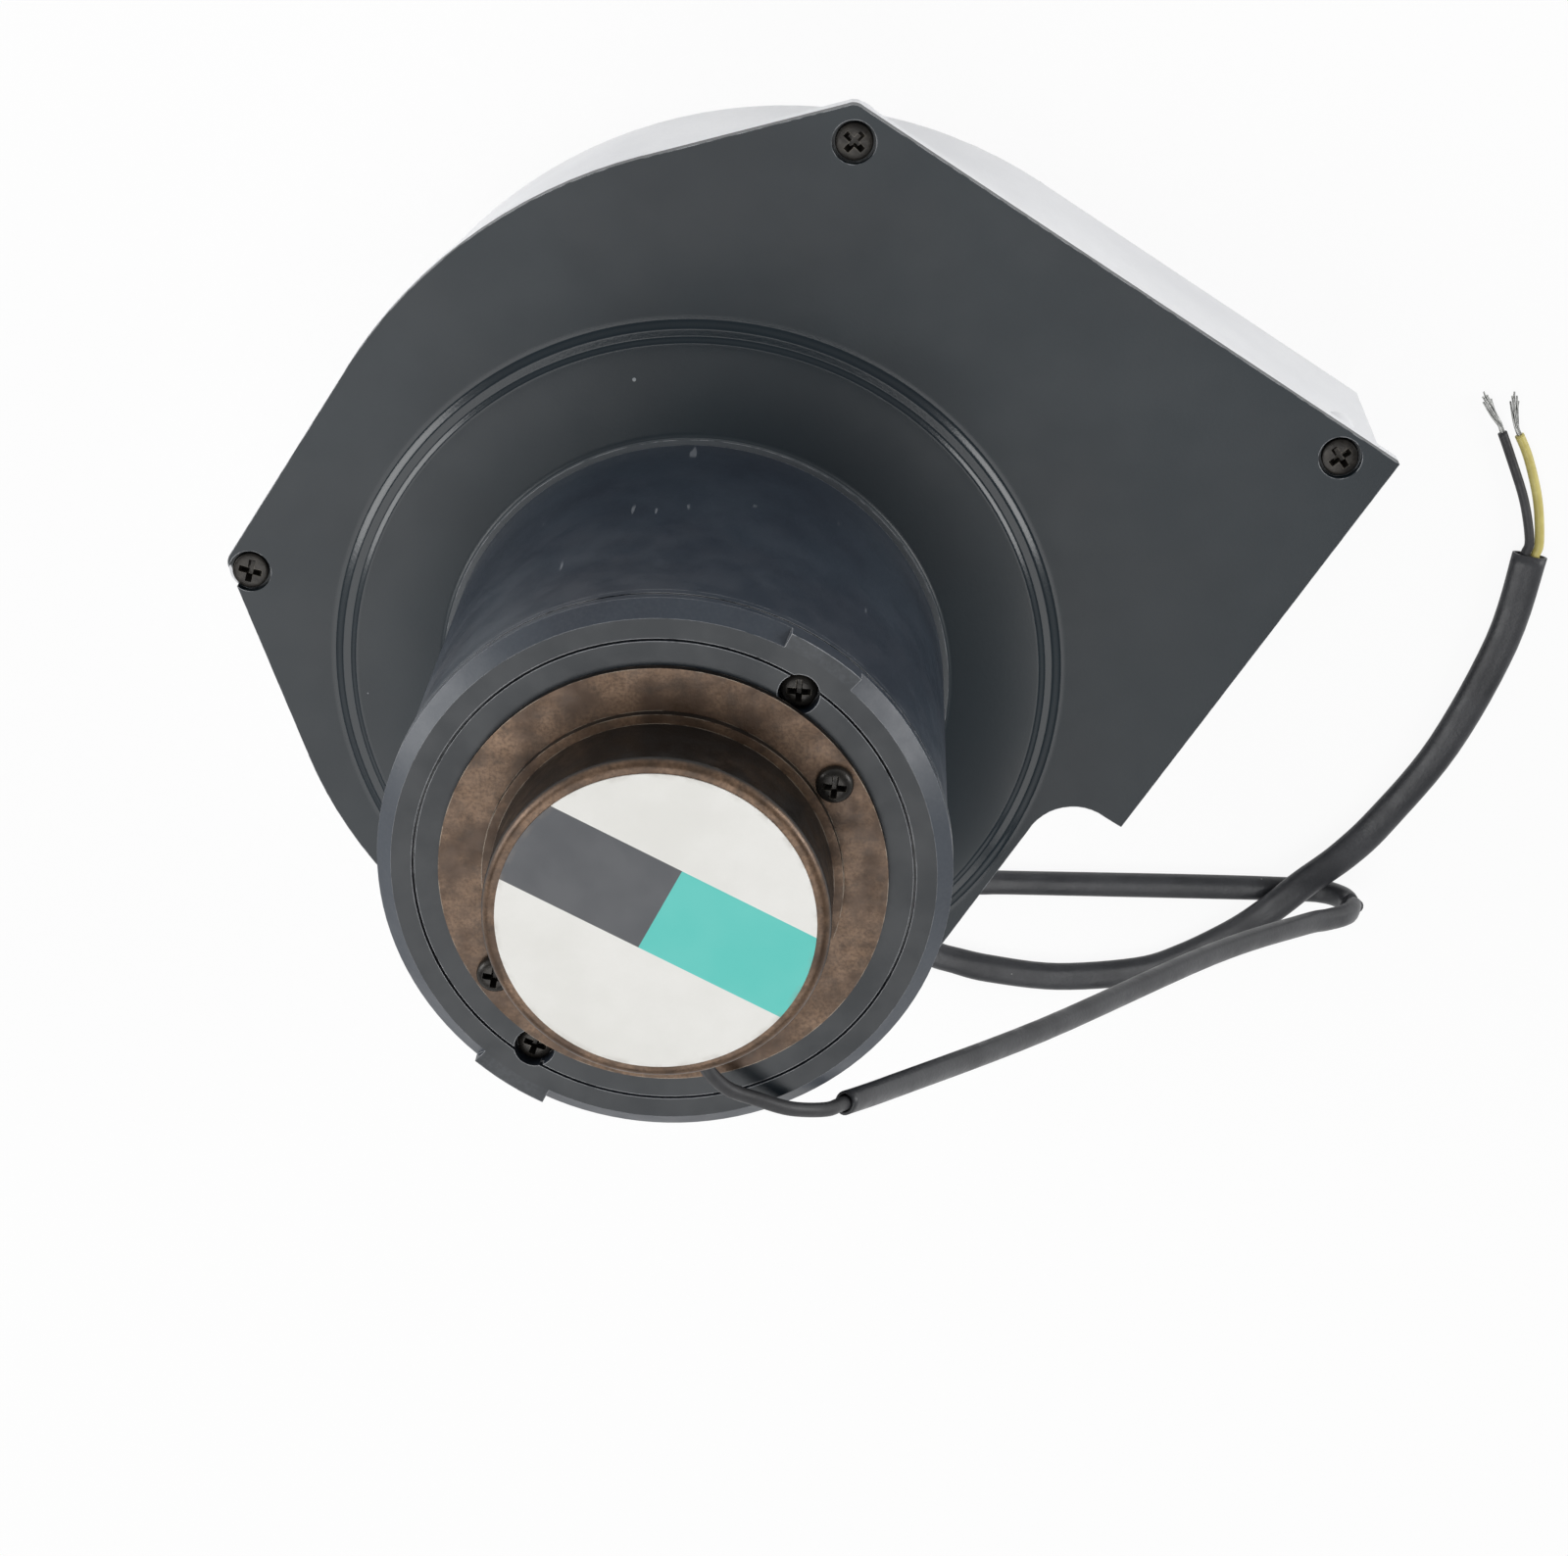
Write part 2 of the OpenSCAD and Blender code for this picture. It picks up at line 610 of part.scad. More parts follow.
module bell_section() {
    bell_c = [inlet_r + bell_r, pan_wall + bell_r];
    translate([bell_c[0] - eps, pan_wall]) square([ring_reach, ring_t]);
    intersection() {
        difference() {
            translate(bell_c) circle(r = bell_r);
            translate(bell_c) circle(r = bell_r - ring_t);
        }
        translate([inlet_r, pan_wall]) square([bell_r, bell_r]);
    }
    translate([inlet_r, bell_c[1] - eps]) square([ring_t, throat_len]);
}

module inlet_rivets() {
    color([0.6, 0.6, 0.6]) at_rivets() {
        cylinder(r = rivet_r, h = pan_wall + ring_t + eps);
        translate([0, 0, pan_wall + ring_t])
            cylinder(r1 = 1.8 * rivet_r, r2 = 1.2 * rivet_r, h = 0.6 * rivet_r);
    }
}

// Turn about a vane's own centre at which the vane reaches a given distance from the shaft
function vane_turn(r) = let (from = norm(vane_centre()), edge = vane_r + vane_t / 2)
    atan2(vane_r, -vane_centre()[0]) - acos((from * from + edge * edge - r * r) / (2 * from * edge));
function vane_centre() = [impeller_d / 2 - 0.72 * vane_depth, -vane_r];

// Forward-curved vane, from the eye to the rim
module vane(z, h) {
    tip = vane_turn(impeller_d / 2 - 0.1);
    root = vane_turn(impeller_d / 2 - vane_depth + 0.1);
    translate([vane_centre()[0], vane_centre()[1], z]) rotate([0, 0, tip])
        rotate_extrude(angle = root - tip) translate([vane_r - vane_t / 2, 0]) square([vane_t, h]);
}

module impeller() {
    tip_r = impeller_d / 2;
    bite = disc_t / 4;
    color([0.62, 0.63, 0.65]) {
        for (k = [0:vane_count - 1]) rotate([0, 0, 360 * k / vane_count])
            vane(impeller_z + disc_t - bite, impeller_w - 2 * disc_t + 2 * bite);
        translate([0, 0, impeller_z]) ring(tip_r, tip_r - vane_depth, disc_t);
        difference() {
            translate([0, 0, disc_z]) cylinder(r = tip_r, h = disc_t);
            translate([0, 0, disc_z - 1]) cylinder(r = hub_r + seat, h = disc_t + 2);
            at_hub_rivets() translate([0, 0, disc_z - 1]) cylinder(r = rivet_r + seat, h = disc_t + 2);
        }
    }
}

module at_hub_rivets() {
    for (k = [0:3]) at_polar((hub_r + hub_flange_r) / 2, 90 * k, 0) children();
}

module impeller_hub() {
    color([0.7, 0.71, 0.72]) difference() {
        union() {
            translate([0, 0, hub_z]) cylinder(r = hub_r, h = hub_len + disc_t);
            translate([0, 0, disc_z - hub_flange_t]) cylinder(r = hub_flange_r, h = hub_flange_t);
        }
        translate([0, 0, hub_z - 1]) cylinder(r = shaft_end_r + seat, h = hub_len + disc_t + 2);
        at_hub_rivets() translate([0, 0, disc_z - hub_flange_t - 1])
            cylinder(r = rivet_r + seat, h = hub_flange_t + 2);
        translate([0, 0, hub_z + hub_len / 3]) rotate([0, 90, 0]) cylinder(r = screw_r + seat, h = 2 * hub_r);
    }
}

module hub_rivets() {
    color([0.6, 0.6, 0.6]) at_hub_rivets() {
        translate([0, 0, disc_z - hub_flange_t - 0.8]) cylinder(r = 1.6 * rivet_r, h = 0.8);
        translate([0, 0, disc_z - hub_flange_t - eps])
            cylinder(r = rivet_r, h = hub_flange_t + disc_t + 2 * eps);
        translate([0, 0, disc_z + disc_t]) cylinder(r = 1.6 * rivet_r, h = 0.8);
    }
}

module hub_set_screw() {
    color([0.15, 0.15, 0.16]) translate([shaft_end_r + 2 * seat, 0, hub_z + hub_len / 3]) rotate([0, 90, 0])
        difference() {
            cylinder(r = screw_r, h = hub_r - shaft_end_r - 0.4);
            translate([0, 0, hub_r - shaft_end_r - 1.4]) cylinder(r = 0.5 * screw_r, h = 2, $fn = 6);
        }
}

module motor_case() {
    rim_z = face_z - bevel_h;
    lip_h = 1.4;
    line = 0.5;
    color([0.2, 0.21, 0.24]) difference() {
        union() {
            translate([0, 0, seat_z]) cylinder(r1 = case_root_r, r2 = case_r, h = case_len - bevel_h);
            translate([0, 0, rim_z - lip_h]) cylinder(r = rim_r, h = lip_h);
            translate([0, 0, rim_z - 2 * lip_h - line]) cylinder(r = rim_r, h = lip_h);
            translate([0, 0, rim_z]) cylinder(r1 = rim_r, r2 = rim_r - bevel_h, h = bevel_h);
            rim_lugs(rim_z);
        }
        difference() {
            translate([0, 0, seat_z + case_floor]) cylinder(r = case_bore_r, h = case_len);
            // bosses for the bracket screws, and the rear bearing's housing
            at_bracket_screws() translate([0, 0, face_z - bracket_t - lug_boss_h])
                cylinder(r = bracket_bore_r, h = lug_boss_h);
            translate([0, 0, seat_z]) cylinder(r = bearing_r + 4, h = bearing_lip + bearing_w + 1);
        }
        translate([0, 0, rear_bearing_z]) cylinder(r = bearing_r + seat, h = bearing_w + 3);
        translate([0, 0, seat_z - 1]) cylinder(r = bearing_r - bearing_lip, h = bearing_lip + 3);
        at_motor_screws() translate([0, 0, seat_z - 1])
            cylinder(r = screw_r + seat, h = case_floor - 0.4 + 1);
        at_bracket_screws() {
            translate([0, 0, face_z - bracket_bore_h]) cylinder(r = bracket_bore_r, h = bracket_bore_h + 1);
            translate([0, 0, face_z - bracket_t - lug_boss_h + 0.5])
                cylinder(r = screw_r + seat, h = lug_boss_h + 1);
        }
    }
}

// Lugs that stand square to the face where the bevel would run
module rim_lugs(z0) {
    for (a = [lug_angle, lug_angle + 180])
        translate([0, 0, z0 - eps]) linear_extrude(bevel_h + eps) intersection() {
            circle(r = rim_r);
            rotate([0, 0, a]) polygon([[0, 0], polar(60, -lug_half), polar(60, lug_half)]);
        }
}

module motor_screws() {
    color([0.2, 0.2, 0.2]) at_motor_screws() translate([0, 0, seat_z - plate_t]) rotate([180, 0, 0])
        pan_screw(motor_screw_len);
}

module front_bracket() {
    line_h = 1.2;
    color([0.24, 0.25, 0.27]) difference() {
        union() {
            translate([0, 0, face_z - bracket_t]) cylinder(r = case_bore_r - seat, h = bracket_t - line_h);
            translate([0, 0, face_z - line_h - eps])
                cylinder(r = case_bore_r - bracket_line, h = line_h + eps);
            translate([0, 0, front_bearing_z - 1]) cylinder(r = bearing_r + 3.5, h = bearing_w + 1);
            translate([0, 0, face_z - eps]) cylinder(r = bearing_r + 2, h = bearing_lip + washer_t);
        }
        translate([0, 0, front_bearing_z - 2]) cylinder(r = bearing_r + seat, h = bearing_w + 2 + washer_t);
        translate([0, 0, face_z - 1]) cylinder(r = bearing_r - bearing_lip, h = 5);
        at_bracket_screws() {
            translate([0, 0, face_z - bracket_bore_h]) cylinder(r = bracket_bore_r, h = bracket_bore_h + 1);
            translate([0, 0, face_z - bracket_t - 1]) cylinder(r = screw_r + seat, h = bracket_t + 2);
        }
        at_cover_screws() translate([0, 0, face_z - bracket_t + 1])
            cylinder(r = screw_r + seat, h = bracket_t);
        at_polar((bearing_r + cover_r) / 2, lead_angle, face_z - bracket_t - 1)
            cylinder(r = lead_d, h = bracket_t + 2);
    }
}

module bracket_screws() {
    color([0.1, 0.1, 0.1]) at_bracket_screws() translate([0, 0, face_z - bracket_bore_h])
        pan_screw(bracket_t - bracket_bore_h + lug_boss_h - 1);
}

module stator_core() {
    slot_r = 2.1;
    slot_at = (stator_bore_r + case_bore_r) / 2;
    color([0.45, 0.46, 0.48]) translate([0, 0, stack_z]) difference() {
        cylinder(r = case_bore_r - seat, h = stack_len);
        translate([0, 0, -1]) cylinder(r = stator_bore_r, h = stack_len + 2);
        for (k = [0:slot_count - 1]) rotate([0, 0, 360 * k / slot_count]) {
            translate([slot_at, 0, -1]) cylinder(r = slot_r, h = stack_len + 2);
            translate([stator_bore_r - 1, -slot_r / 3, -1])
                cube([slot_at - stator_bore_r, slot_r / 1.5, stack_len + 2]);
        }
    }
}

module stator_winding() {
    bar_r = 1.8;
    turn_h = 8;
    turn_at = (stator_bore_r + case_bore_r) / 2;
    color([0.72, 0.4, 0.2]) {
        for (z = [stack_z - turn_h, stack_z + stack_len]) translate([0, 0, z]) rotate_extrude()
            translate([turn_at - bar_r - 1, 0]) square([2 * bar_r + 2, turn_h]);
        for (k = [0:slot_count - 1]) at_polar(turn_at, 360 * k / slot_count, stack_z - eps)
            cylinder(r = bar_r, h = stack_len + 2 * eps);
    }
}

module at_bars() {
    for (k = [0:bar_count - 1]) at_polar(stator_bore_r - 3.5, 360 * k / bar_count, 0) children();
}

module rotor_core() {
    color([0.5, 0.5, 0.52]) translate([0, 0, stack_z]) difference() {
        cylinder(r = stator_bore_r - air_gap, h = stack_len);
        translate([0, 0, -1]) cylinder(r = shaft_core_r + seat, h = stack_len + 2);
        at_bars() translate([0, 0, -1]) cylinder(r = 1.3, h = stack_len + 2);
    }
}

module rotor_cage() {
    bar_r = 1.3 - seat;
    end_h = 5;
    color([0.75, 0.76, 0.77]) {
        for (z = [stack_z - end_h, stack_z + stack_len]) translate([0, 0, z])
            ring(stator_bore_r - air_gap - 1, stator_bore_r - 8, end_h);
        at_bars() translate([0, 0, stack_z - eps]) cylinder(r = bar_r, h = stack_len + 2 * eps);
    }
}

module shaft() {
    core_z0 = rear_bearing_z + bearing_w;
    core_z1 = front_bearing_z;
    color([0.7, 0.7, 0.72]) {
        translate([0, 0, hub_z]) cylinder(r = shaft_end_r, h = disc_z + disc_t - hub_z + eps);
        translate([0, 0, disc_z + disc_t]) cylinder(r = shaft_r, h = core_z0 - disc_z - disc_t + eps);
        translate([0, 0, core_z0]) cylinder(r = shaft_core_r, h = core_z1 - core_z0);
        translate([0, 0, core_z1 - eps]) cylinder(r = shaft_r, h = bearing_w + 1);
    }
}

// Outer ring of a bearing, with the groove for its balls
module bearing_outer(z) {
    color([0.66, 0.66, 0.68]) translate([0, 0, z]) rotate_extrude() difference() {
        translate([ball_pitch() + 0.55 * ball_r, 0])
            square([bearing_r - ball_pitch() - 0.55 * ball_r, bearing_w]);
        translate([ball_pitch(), bearing_w / 2]) circle(r = ball_r + seat);
    }
}

module bearing_inner(z) {
    inner_r = shaft_r + seat / 2;
    color([0.66, 0.66, 0.68]) translate([0, 0, z]) rotate_extrude() difference() {
        translate([inner_r, 0]) square([ball_pitch() - 0.55 * ball_r - inner_r, bearing_w]);
        translate([ball_pitch(), bearing_w / 2]) circle(r = ball_r + ball_room);
    }
}

module bearing_balls(z) {
    color([0.8, 0.8, 0.82]) for (k = [0:ball_count - 1])
        at_polar(ball_pitch(), 360 * k / ball_count, z + bearing_w / 2) sphere(r = ball_r);
}

function ball_pitch() = (shaft_r + bearing_r) / 2;

module rear_bearing_outer() {
    bearing_outer(rear_bearing_z);
}

module rear_bearing_inner() {
    bearing_inner(rear_bearing_z);
}

module rear_bearing_balls() {
    bearing_balls(rear_bearing_z);
}

module front_bearing_outer() {
    bearing_outer(front_bearing_z);
}

module front_bearing_inner() {
    bearing_inner(front_bearing_z);
}

module front_bearing_balls() {
    bearing_balls(front_bearing_z);
}

module wave_washer() {
    color([0.55, 0.56, 0.58]) translate([0, 0, front_bearing_z + bearing_w])
        ring(bearing_r - 0.2, bearing_r - 2.2, washer_t);
}

module end_cover() {
    color([0.42, 0.35, 0.29]) difference() {
        rotate_extrude() cover_section(0, cover_round);
        rotate_extrude() cover_section(cover_t, cover_round / 2);
        at_cover_screws() translate([0, 0, face_z - 1]) cylinder(r = screw_r + 0.1, h = 2 * cover_t + 2);
        along_lead(cover_r - 3 * cover_t) cylinder(r = lead_d / 2 + grommet_t, h = 6 * cover_t);
    }
}

// Half section of the end cover's outside, or of its inside when a sheet is taken off
module cover_section(sheet, edge) {
    r = cover_r - sheet;
    top = cover_top - sheet;
    foot = face_z - (sheet > 0 ? 1 : 0);
    if (sheet == 0) {
        translate([0, foot]) square([cover_flange_r, cover_t]);
        translate([0, foot]) square([cover_step_r, cover_t + cover_step_h]);
    }
    translate([0, foot]) square([r, top - foot - edge]);
    translate([0, foot]) square([r - edge, top - foot]);
    translate([r - edge, top - edge]) circle(r = edge);
}

// Along the lead where it goes through the drum, from a given distance from the shaft
module along_lead(r) {
    at_polar(r, lead_angle, face_z + lead_h) rotate([0, 90, 0]) children();
}

module end_cover_screws() {
    color([0.08, 0.08, 0.08]) at_cover_screws() translate([0, 0, face_z + cover_t]) pan_screw(bracket_t - 1);
}

module label_disc() {
    color([0.93, 0.93, 0.91]) translate([0, 0, cover_top]) cylinder(r = label_r, h = label_t);
}

module lead_grommet() {
    lip = 1.2;
    length = 3 * cover_t + lip;
    color([0.08, 0.08, 0.08]) along_lead(cover_r - 2 * cover_t) difference() {
        union() {
            cylinder(r = lead_d / 2 + grommet_t - seat, h = length);
            translate([0, 0, 2 * cover_t + seat]) cylinder(r = lead_d / 2 + 2 * grommet_t, h = lip);
        }
        translate([0, 0, -1]) cylinder(r = lead_d / 2 + lead_play, h = length + 2);
    }
}

module lead_cable() {
    color([0.12, 0.12, 0.12]) tube(lead_route, [lead_d, lead_d], [lead_d, lead_d], 8, 2);
}

module cord_sleeve() {
    color([0.14, 0.14, 0.15]) tube(sleeve_route, [sleeve_start_w, sleeve_start_h],
        [sleeve_end_w, sleeve_end_h], 10, 1);
}

module wire_black() {
    color([0.12, 0.12, 0.12]) tube(black_route, [wire_d, wire_d], [wire_d, wire_d], 8, 1);
}

module wire_yellow() {
    color([0.85, 0.8, 0.5]) tube(yellow_route, [wire_d, wire_d], [wire_d, wire_d], 8, 1);
}

module wire_ends() {
    for (route = strand_routes)
        color([0.67, 0.67, 0.65]) tube(route, [strand_d, strand_d], [strand_d, strand_d], 8, 1);
}

scroll_pan();
motor_plate();
plate_screws();
inlet_ring();
inlet_rivets();
impeller();
impeller_hub();
hub_rivets();
hub_set_screw();
motor_case();
motor_screws();
front_bracket();
bracket_screws();
stator_core();
stator_winding();
rotor_core();
rotor_cage();
shaft();
rear_bearing_outer();
rear_bearing_inner();
rear_bearing_balls();
front_bearing_outer();
front_bearing_inner();
front_bearing_balls();
wave_washer();
end_cover();
end_cover_screws();
label_disc();
lead_grommet();
lead_cable();
cord_sleeve();
wire_black();
wire_yellow();
wire_ends();
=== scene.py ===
"""Looks of a centrifugal blower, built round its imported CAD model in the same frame."""

import json
import logging
import math
from collections.abc import Callable, Sequence
from dataclasses import dataclass
from enum import Enum

import bmesh
import bpy
from mathutils import Matrix, Vector


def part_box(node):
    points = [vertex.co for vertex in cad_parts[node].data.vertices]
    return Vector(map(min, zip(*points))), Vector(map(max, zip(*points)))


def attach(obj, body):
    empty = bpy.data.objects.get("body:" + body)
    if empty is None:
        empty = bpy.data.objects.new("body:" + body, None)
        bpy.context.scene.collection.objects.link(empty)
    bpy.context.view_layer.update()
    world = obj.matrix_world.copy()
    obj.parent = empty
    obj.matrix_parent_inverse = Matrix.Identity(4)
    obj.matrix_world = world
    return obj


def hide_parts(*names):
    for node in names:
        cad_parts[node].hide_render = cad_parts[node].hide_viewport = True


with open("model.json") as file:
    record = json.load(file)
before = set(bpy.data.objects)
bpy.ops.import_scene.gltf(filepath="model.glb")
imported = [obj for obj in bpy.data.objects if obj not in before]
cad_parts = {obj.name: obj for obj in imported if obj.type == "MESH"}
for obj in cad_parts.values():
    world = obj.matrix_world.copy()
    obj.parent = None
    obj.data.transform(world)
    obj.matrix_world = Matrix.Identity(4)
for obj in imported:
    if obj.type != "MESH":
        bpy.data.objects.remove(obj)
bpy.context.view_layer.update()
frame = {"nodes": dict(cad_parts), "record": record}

LOG = logging.getLogger("blower")
MM = 0.001
FULL_TURN = 2.0 * math.pi
SHARP_ANGLE = math.radians(35.0)
MERGE_DISTANCE = 1e-6
ON_AXIS = 1e-9
UP = Vector((0.0, 0.0, 1.0))
WHITE = (1.0, 1.0, 1.0, 1.0)
UNSTRETCHED = (1.0, 1.0, 1.0)

Pair = tuple[float, float]
Point = tuple[float, float, float]
Tone = tuple[float, float, float]
Socket = bpy.types.NodeSocket
Term = Socket | float | Sequence[float]


class Slot(Enum):
    """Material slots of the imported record."""

    CAST_PAN = "cast_pan"
    DARK_PAINT = "dark_paint"
    MOTOR_PAINT = "motor_paint"
    BLACK_SCREW = "black_screw"
    PLAIN_SHEET = "plain_sheet"
    RIVET_METAL = "rivet_metal"
    TURNED_ALLOY = "turned_alloy"
    LAMINATION = "lamination"
    WINDING = "winding"
    BRIGHT_STEEL = "bright_steel"
    BALL_STEEL = "ball_steel"
    AGED_STEEL = "aged_steel"
    LABEL_FACE = "label_face"
    BLACK_RUBBER = "black_rubber"
    LEAD_JACKET = "lead_jacket"
    SLEEVE_JACKET = "sleeve_jacket"
    YELLOW_JACKET = "yellow_jacket"
    TINNED_STRAND = "tinned_strand"


class Body(Enum):
    """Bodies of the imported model."""

    CASING = "casing"
    ROTOR = "rotor"


class Ramp(Enum):
    """How a range is mapped to another."""

    EVEN = "LINEAR"
    SMOOTH = "SMOOTHSTEP"


def linear(tone: Tone) -> tuple[float, float, float, float]:
    """Turns a display tone into a shader colour.

    Args:
        tone: Red, green and blue in sRGB, from 0 to 255.

    Returns:
        The linear colour, with full opacity.
    """
    parts = [v / 255.0 for v in tone]
    curve = [v / 12.92 if v <= 0.04045 else ((v + 0.055) / 1.055) ** 2.4 for v in parts]
    return (curve[0], curve[1], curve[2], 1.0)


class Nodes:
    """Adds nodes to a node tree and links them."""

    def __init__(self, tree: bpy.types.NodeTree) -> None:
        """Takes the tree that the nodes go into."""
        self.tree = tree

    def feed(self, socket: Socket, term: Term) -> None:
        """Links a socket to another one, or sets its value.

        Args:
            socket: The input.
            term: The output that it is linked to, or its value.
        """
        if isinstance(term, Socket):
            self.tree.links.new(term, socket)
        else:
            socket.default_value = term

    def fill(self, node: bpy.types.Node, *terms: Term) -> bpy.types.Node:
        """Feeds a node's inputs in order.

        Args:
            node: The node.
            terms: What goes into its inputs.

        Returns:
            The node.
        """
        for socket, term in zip(node.inputs, terms):
            self.feed(socket, term)
        return node

    def add(self, kind: str, links: dict[str, Term] | None = None, **settings: object) -> bpy.types.Node:
        """Adds a node.

        Args:
            kind: Type of the node.
            links: What goes into its inputs, by name.
            settings: Properties to set on it.

        Returns:
            The node.
        """
        node = self.tree.nodes.new(kind)
        for key, value in settings.items():
            setattr(node, key, value)
        for key, term in (links or {}).items():
            self.feed(next(s for s in node.inputs if s.name == key and s.enabled), term)
        return node

    def value(self, operation: str, *terms: Term) -> Socket:
        """Adds a Math node and returns its result."""
        return self.fill(self.add("ShaderNodeMath", operation=operation), *terms).outputs[0]

    def times(self, first: Term, *others: Term) -> Socket:
        """Multiplies terms.

        Args:
            first: The first term.
            others: The terms that it is multiplied by in turn.

        Returns:
            The product.
        """
        product = first
        for other in others:
            product = self.value("MULTIPLY", product, other)
        return product

    def part(self, vector: Socket, axis: str) -> Socket:
        """Returns one part of a vector."""
        return self.add("ShaderNodeSeparateXYZ", {"Vector": vector}).outputs[axis]

    def span(self, value: Term, low: float, high: float, to_low: Term = 0.0, to_high: Term = 1.0,
             ramp: Ramp = Ramp.SMOOTH) -> Socket:
        """Maps a range to another.

        Args:
            value: What is mapped.
            low: Where the range starts.
            high: Where it ends.
            to_low: Result at its start.
            to_high: Result at its end.
            ramp: How the result runs from one to the other.

        Returns:
            The result, held to its limits.
        """
        node = self.add("ShaderNodeMapRange", interpolation_type=ramp.value)
        return self.fill(node, value, low, high, to_low, to_high).outputs[0]


@dataclass(frozen=True)
class Patches:
    """A noise whose values between two limits give a mask. Size in millimetres."""

    size: float
    detail: float
    low: float
    high: float
    least: float = 0.0
    most: float = 1.0
    stretch: Point = UNSTRETCHED


class Shader(Nodes):
    """Builds one procedural material, node by node, on Object coordinates in millimetres."""

    noise_roughness: float = 0.55
    edge_samples: int = 6
    edge_turn: Pair = (0.97, 0.80)

    def __init__(self, name: str) -> None:
        """Starts a material.

        Args:
            name: Name of the material.
        """
        self.material = bpy.data.materials.new(name)
        self.material.use_nodes = True
        super().__init__(self.material.node_tree)
        self.surface = next(n for n in self.tree.nodes if n.type == "BSDF_PRINCIPLED")
        self.place = self.vector("SCALE", self.add("ShaderNodeTexCoord").outputs["Object"], scale=1.0 / MM)

    def vector(self, operation: str, *terms: Term, scale: float | None = None) -> Socket:
        """Adds a Vector Math node.

        Args:
            operation: What the node does.
            terms: Its inputs, in order.
            scale: Its scale, where it has one.

        Returns:
            Its result, a number where the operation gives one.
        """
        node = self.fill(self.add("ShaderNodeVectorMath", operation=operation), *terms)
        if scale is not None:
            node.inputs["Scale"].default_value = scale
        return node.outputs["Value" if operation in {"LENGTH", "DOT_PRODUCT"} else "Vector"]

    def noise(self, size: float, detail: float, stretch: Point = UNSTRETCHED) -> Socket:
        """Adds a noise of a given size.

        Args:
            size: Size of its patches, in millimetres.
            detail: How many finer layers it has.
            stretch: What the coordinates are multiplied by.

        Returns:
            Its value, about 0.5 on average.
        """
        is_plain = stretch == UNSTRETCHED
        place = self.place if is_plain else self.vector("MULTIPLY", self.place, stretch)
        node = self.add("ShaderNodeTexNoise", {
            "Vector": place, "Scale": 1.0 / size, "Detail": detail, "Roughness": self.noise_roughness})
        return node.outputs[0]

    def patches(self, kind: Patches) -> Socket:
        """Returns the mask that patches give."""
        noise = self.noise(kind.size, kind.detail, kind.stretch)
        return self.span(noise, kind.low, kind.high, kind.least, kind.most)

    def cells(self, size: float) -> bpy.types.Node:
        """Adds a texture of cells of a size in millimetres."""
        return self.add("ShaderNodeTexVoronoi", {"Vector": self.place, "Scale": 1.0 / size})

    def specks(self, pitch: float, size: float, share: float) -> Socket:
        """Adds scattered specks.

        Args:
            pitch: Distance between the places where a speck may be, in millimetres.
            size: Radius of a speck, in millimetres.
            share: Share of the places that have one.

        Returns:
            A mask, 1 in a speck.
        """
        cells = self.cells(pitch)
        chosen = self.value("LESS_THAN", cells.outputs["Color"], share)
        reach = size / pitch
        ragged = Patches(0.7 * pitch, detail=3.0, low=0.3, high=0.7, least=0.4 * reach, most=1.3 * reach)
        inside = self.value("LESS_THAN", cells.outputs["Distance"], self.patches(ragged))
        return self.times(inside, chosen)

    def mix(self, factor: Term, first: Tone | Socket, second: Tone | Socket) -> Socket:
        """Mixes two colours.

        Args:
            factor: Share of the second.
            first: A display tone or a colour.
            second: A display tone or a colour.

        Returns:
            The mixed colour.
        """
        one, two = (v if isinstance(v, Socket) else linear(v) for v in (first, second))
        node = self.add("ShaderNodeMix", {"Factor": factor, "A": one, "B": two}, data_type="RGBA")
        return next(s for s in node.outputs if s.enabled)

    def axis(self, name: str) -> Socket:
        """Returns one coordinate, in millimetres."""
        return self.part(self.place, name)

    def radius(self) -> Socket:
        """Returns the distance from the shaft's axis, in millimetres."""
        return self.vector("LENGTH", self.vector("MULTIPLY", self.place, (1.0, 1.0, 0.0)))

    def level(self) -> Socket:
        """Returns how far a face lies level, from 0 on a wall to 1."""
        normal = self.add("ShaderNodeNewGeometry").outputs["True Normal"]
        return self.value("ABSOLUTE", self.part(normal, "Z"))

    def edges(self, size: float) -> Socket:
        """Finds sharp edges.

        Args:
            size: How far the worn strip reaches from an edge, in millimetres.

        Returns:
            A mask, 1 at an edge.
        """
        rounded = self.add("ShaderNodeBevel", {"Radius": size * MM}, samples=self.edge_samples)
        normal = self.add("ShaderNodeNewGeometry").outputs["Normal"]
        return self.span(self.vector("DOT_PRODUCT", rounded.outputs[0], normal), *self.edge_turn)

    def close(self, colour: Socket, rough: Socket, bump: Socket, bump_height: float) -> bpy.types.Material:
        """Connects the surface.

        Args:
            colour: Its colour.
            rough: Its roughness.
            bump: Height of its relief, from 0 to 1.
            bump_height: Height of the relief, in millimetres.

        Returns:
            The finished material.
        """
        self.feed(self.surface.inputs["Base Color"], colour)
        self.feed(self.surface.inputs["Roughness"], rough)
        relief = self.add("ShaderNodeBump", {"Strength": 1.0, "Distance": bump_height * MM, "Height": bump})
        self.feed(self.surface.inputs["Normal"], relief.outputs[0])
        return self.material


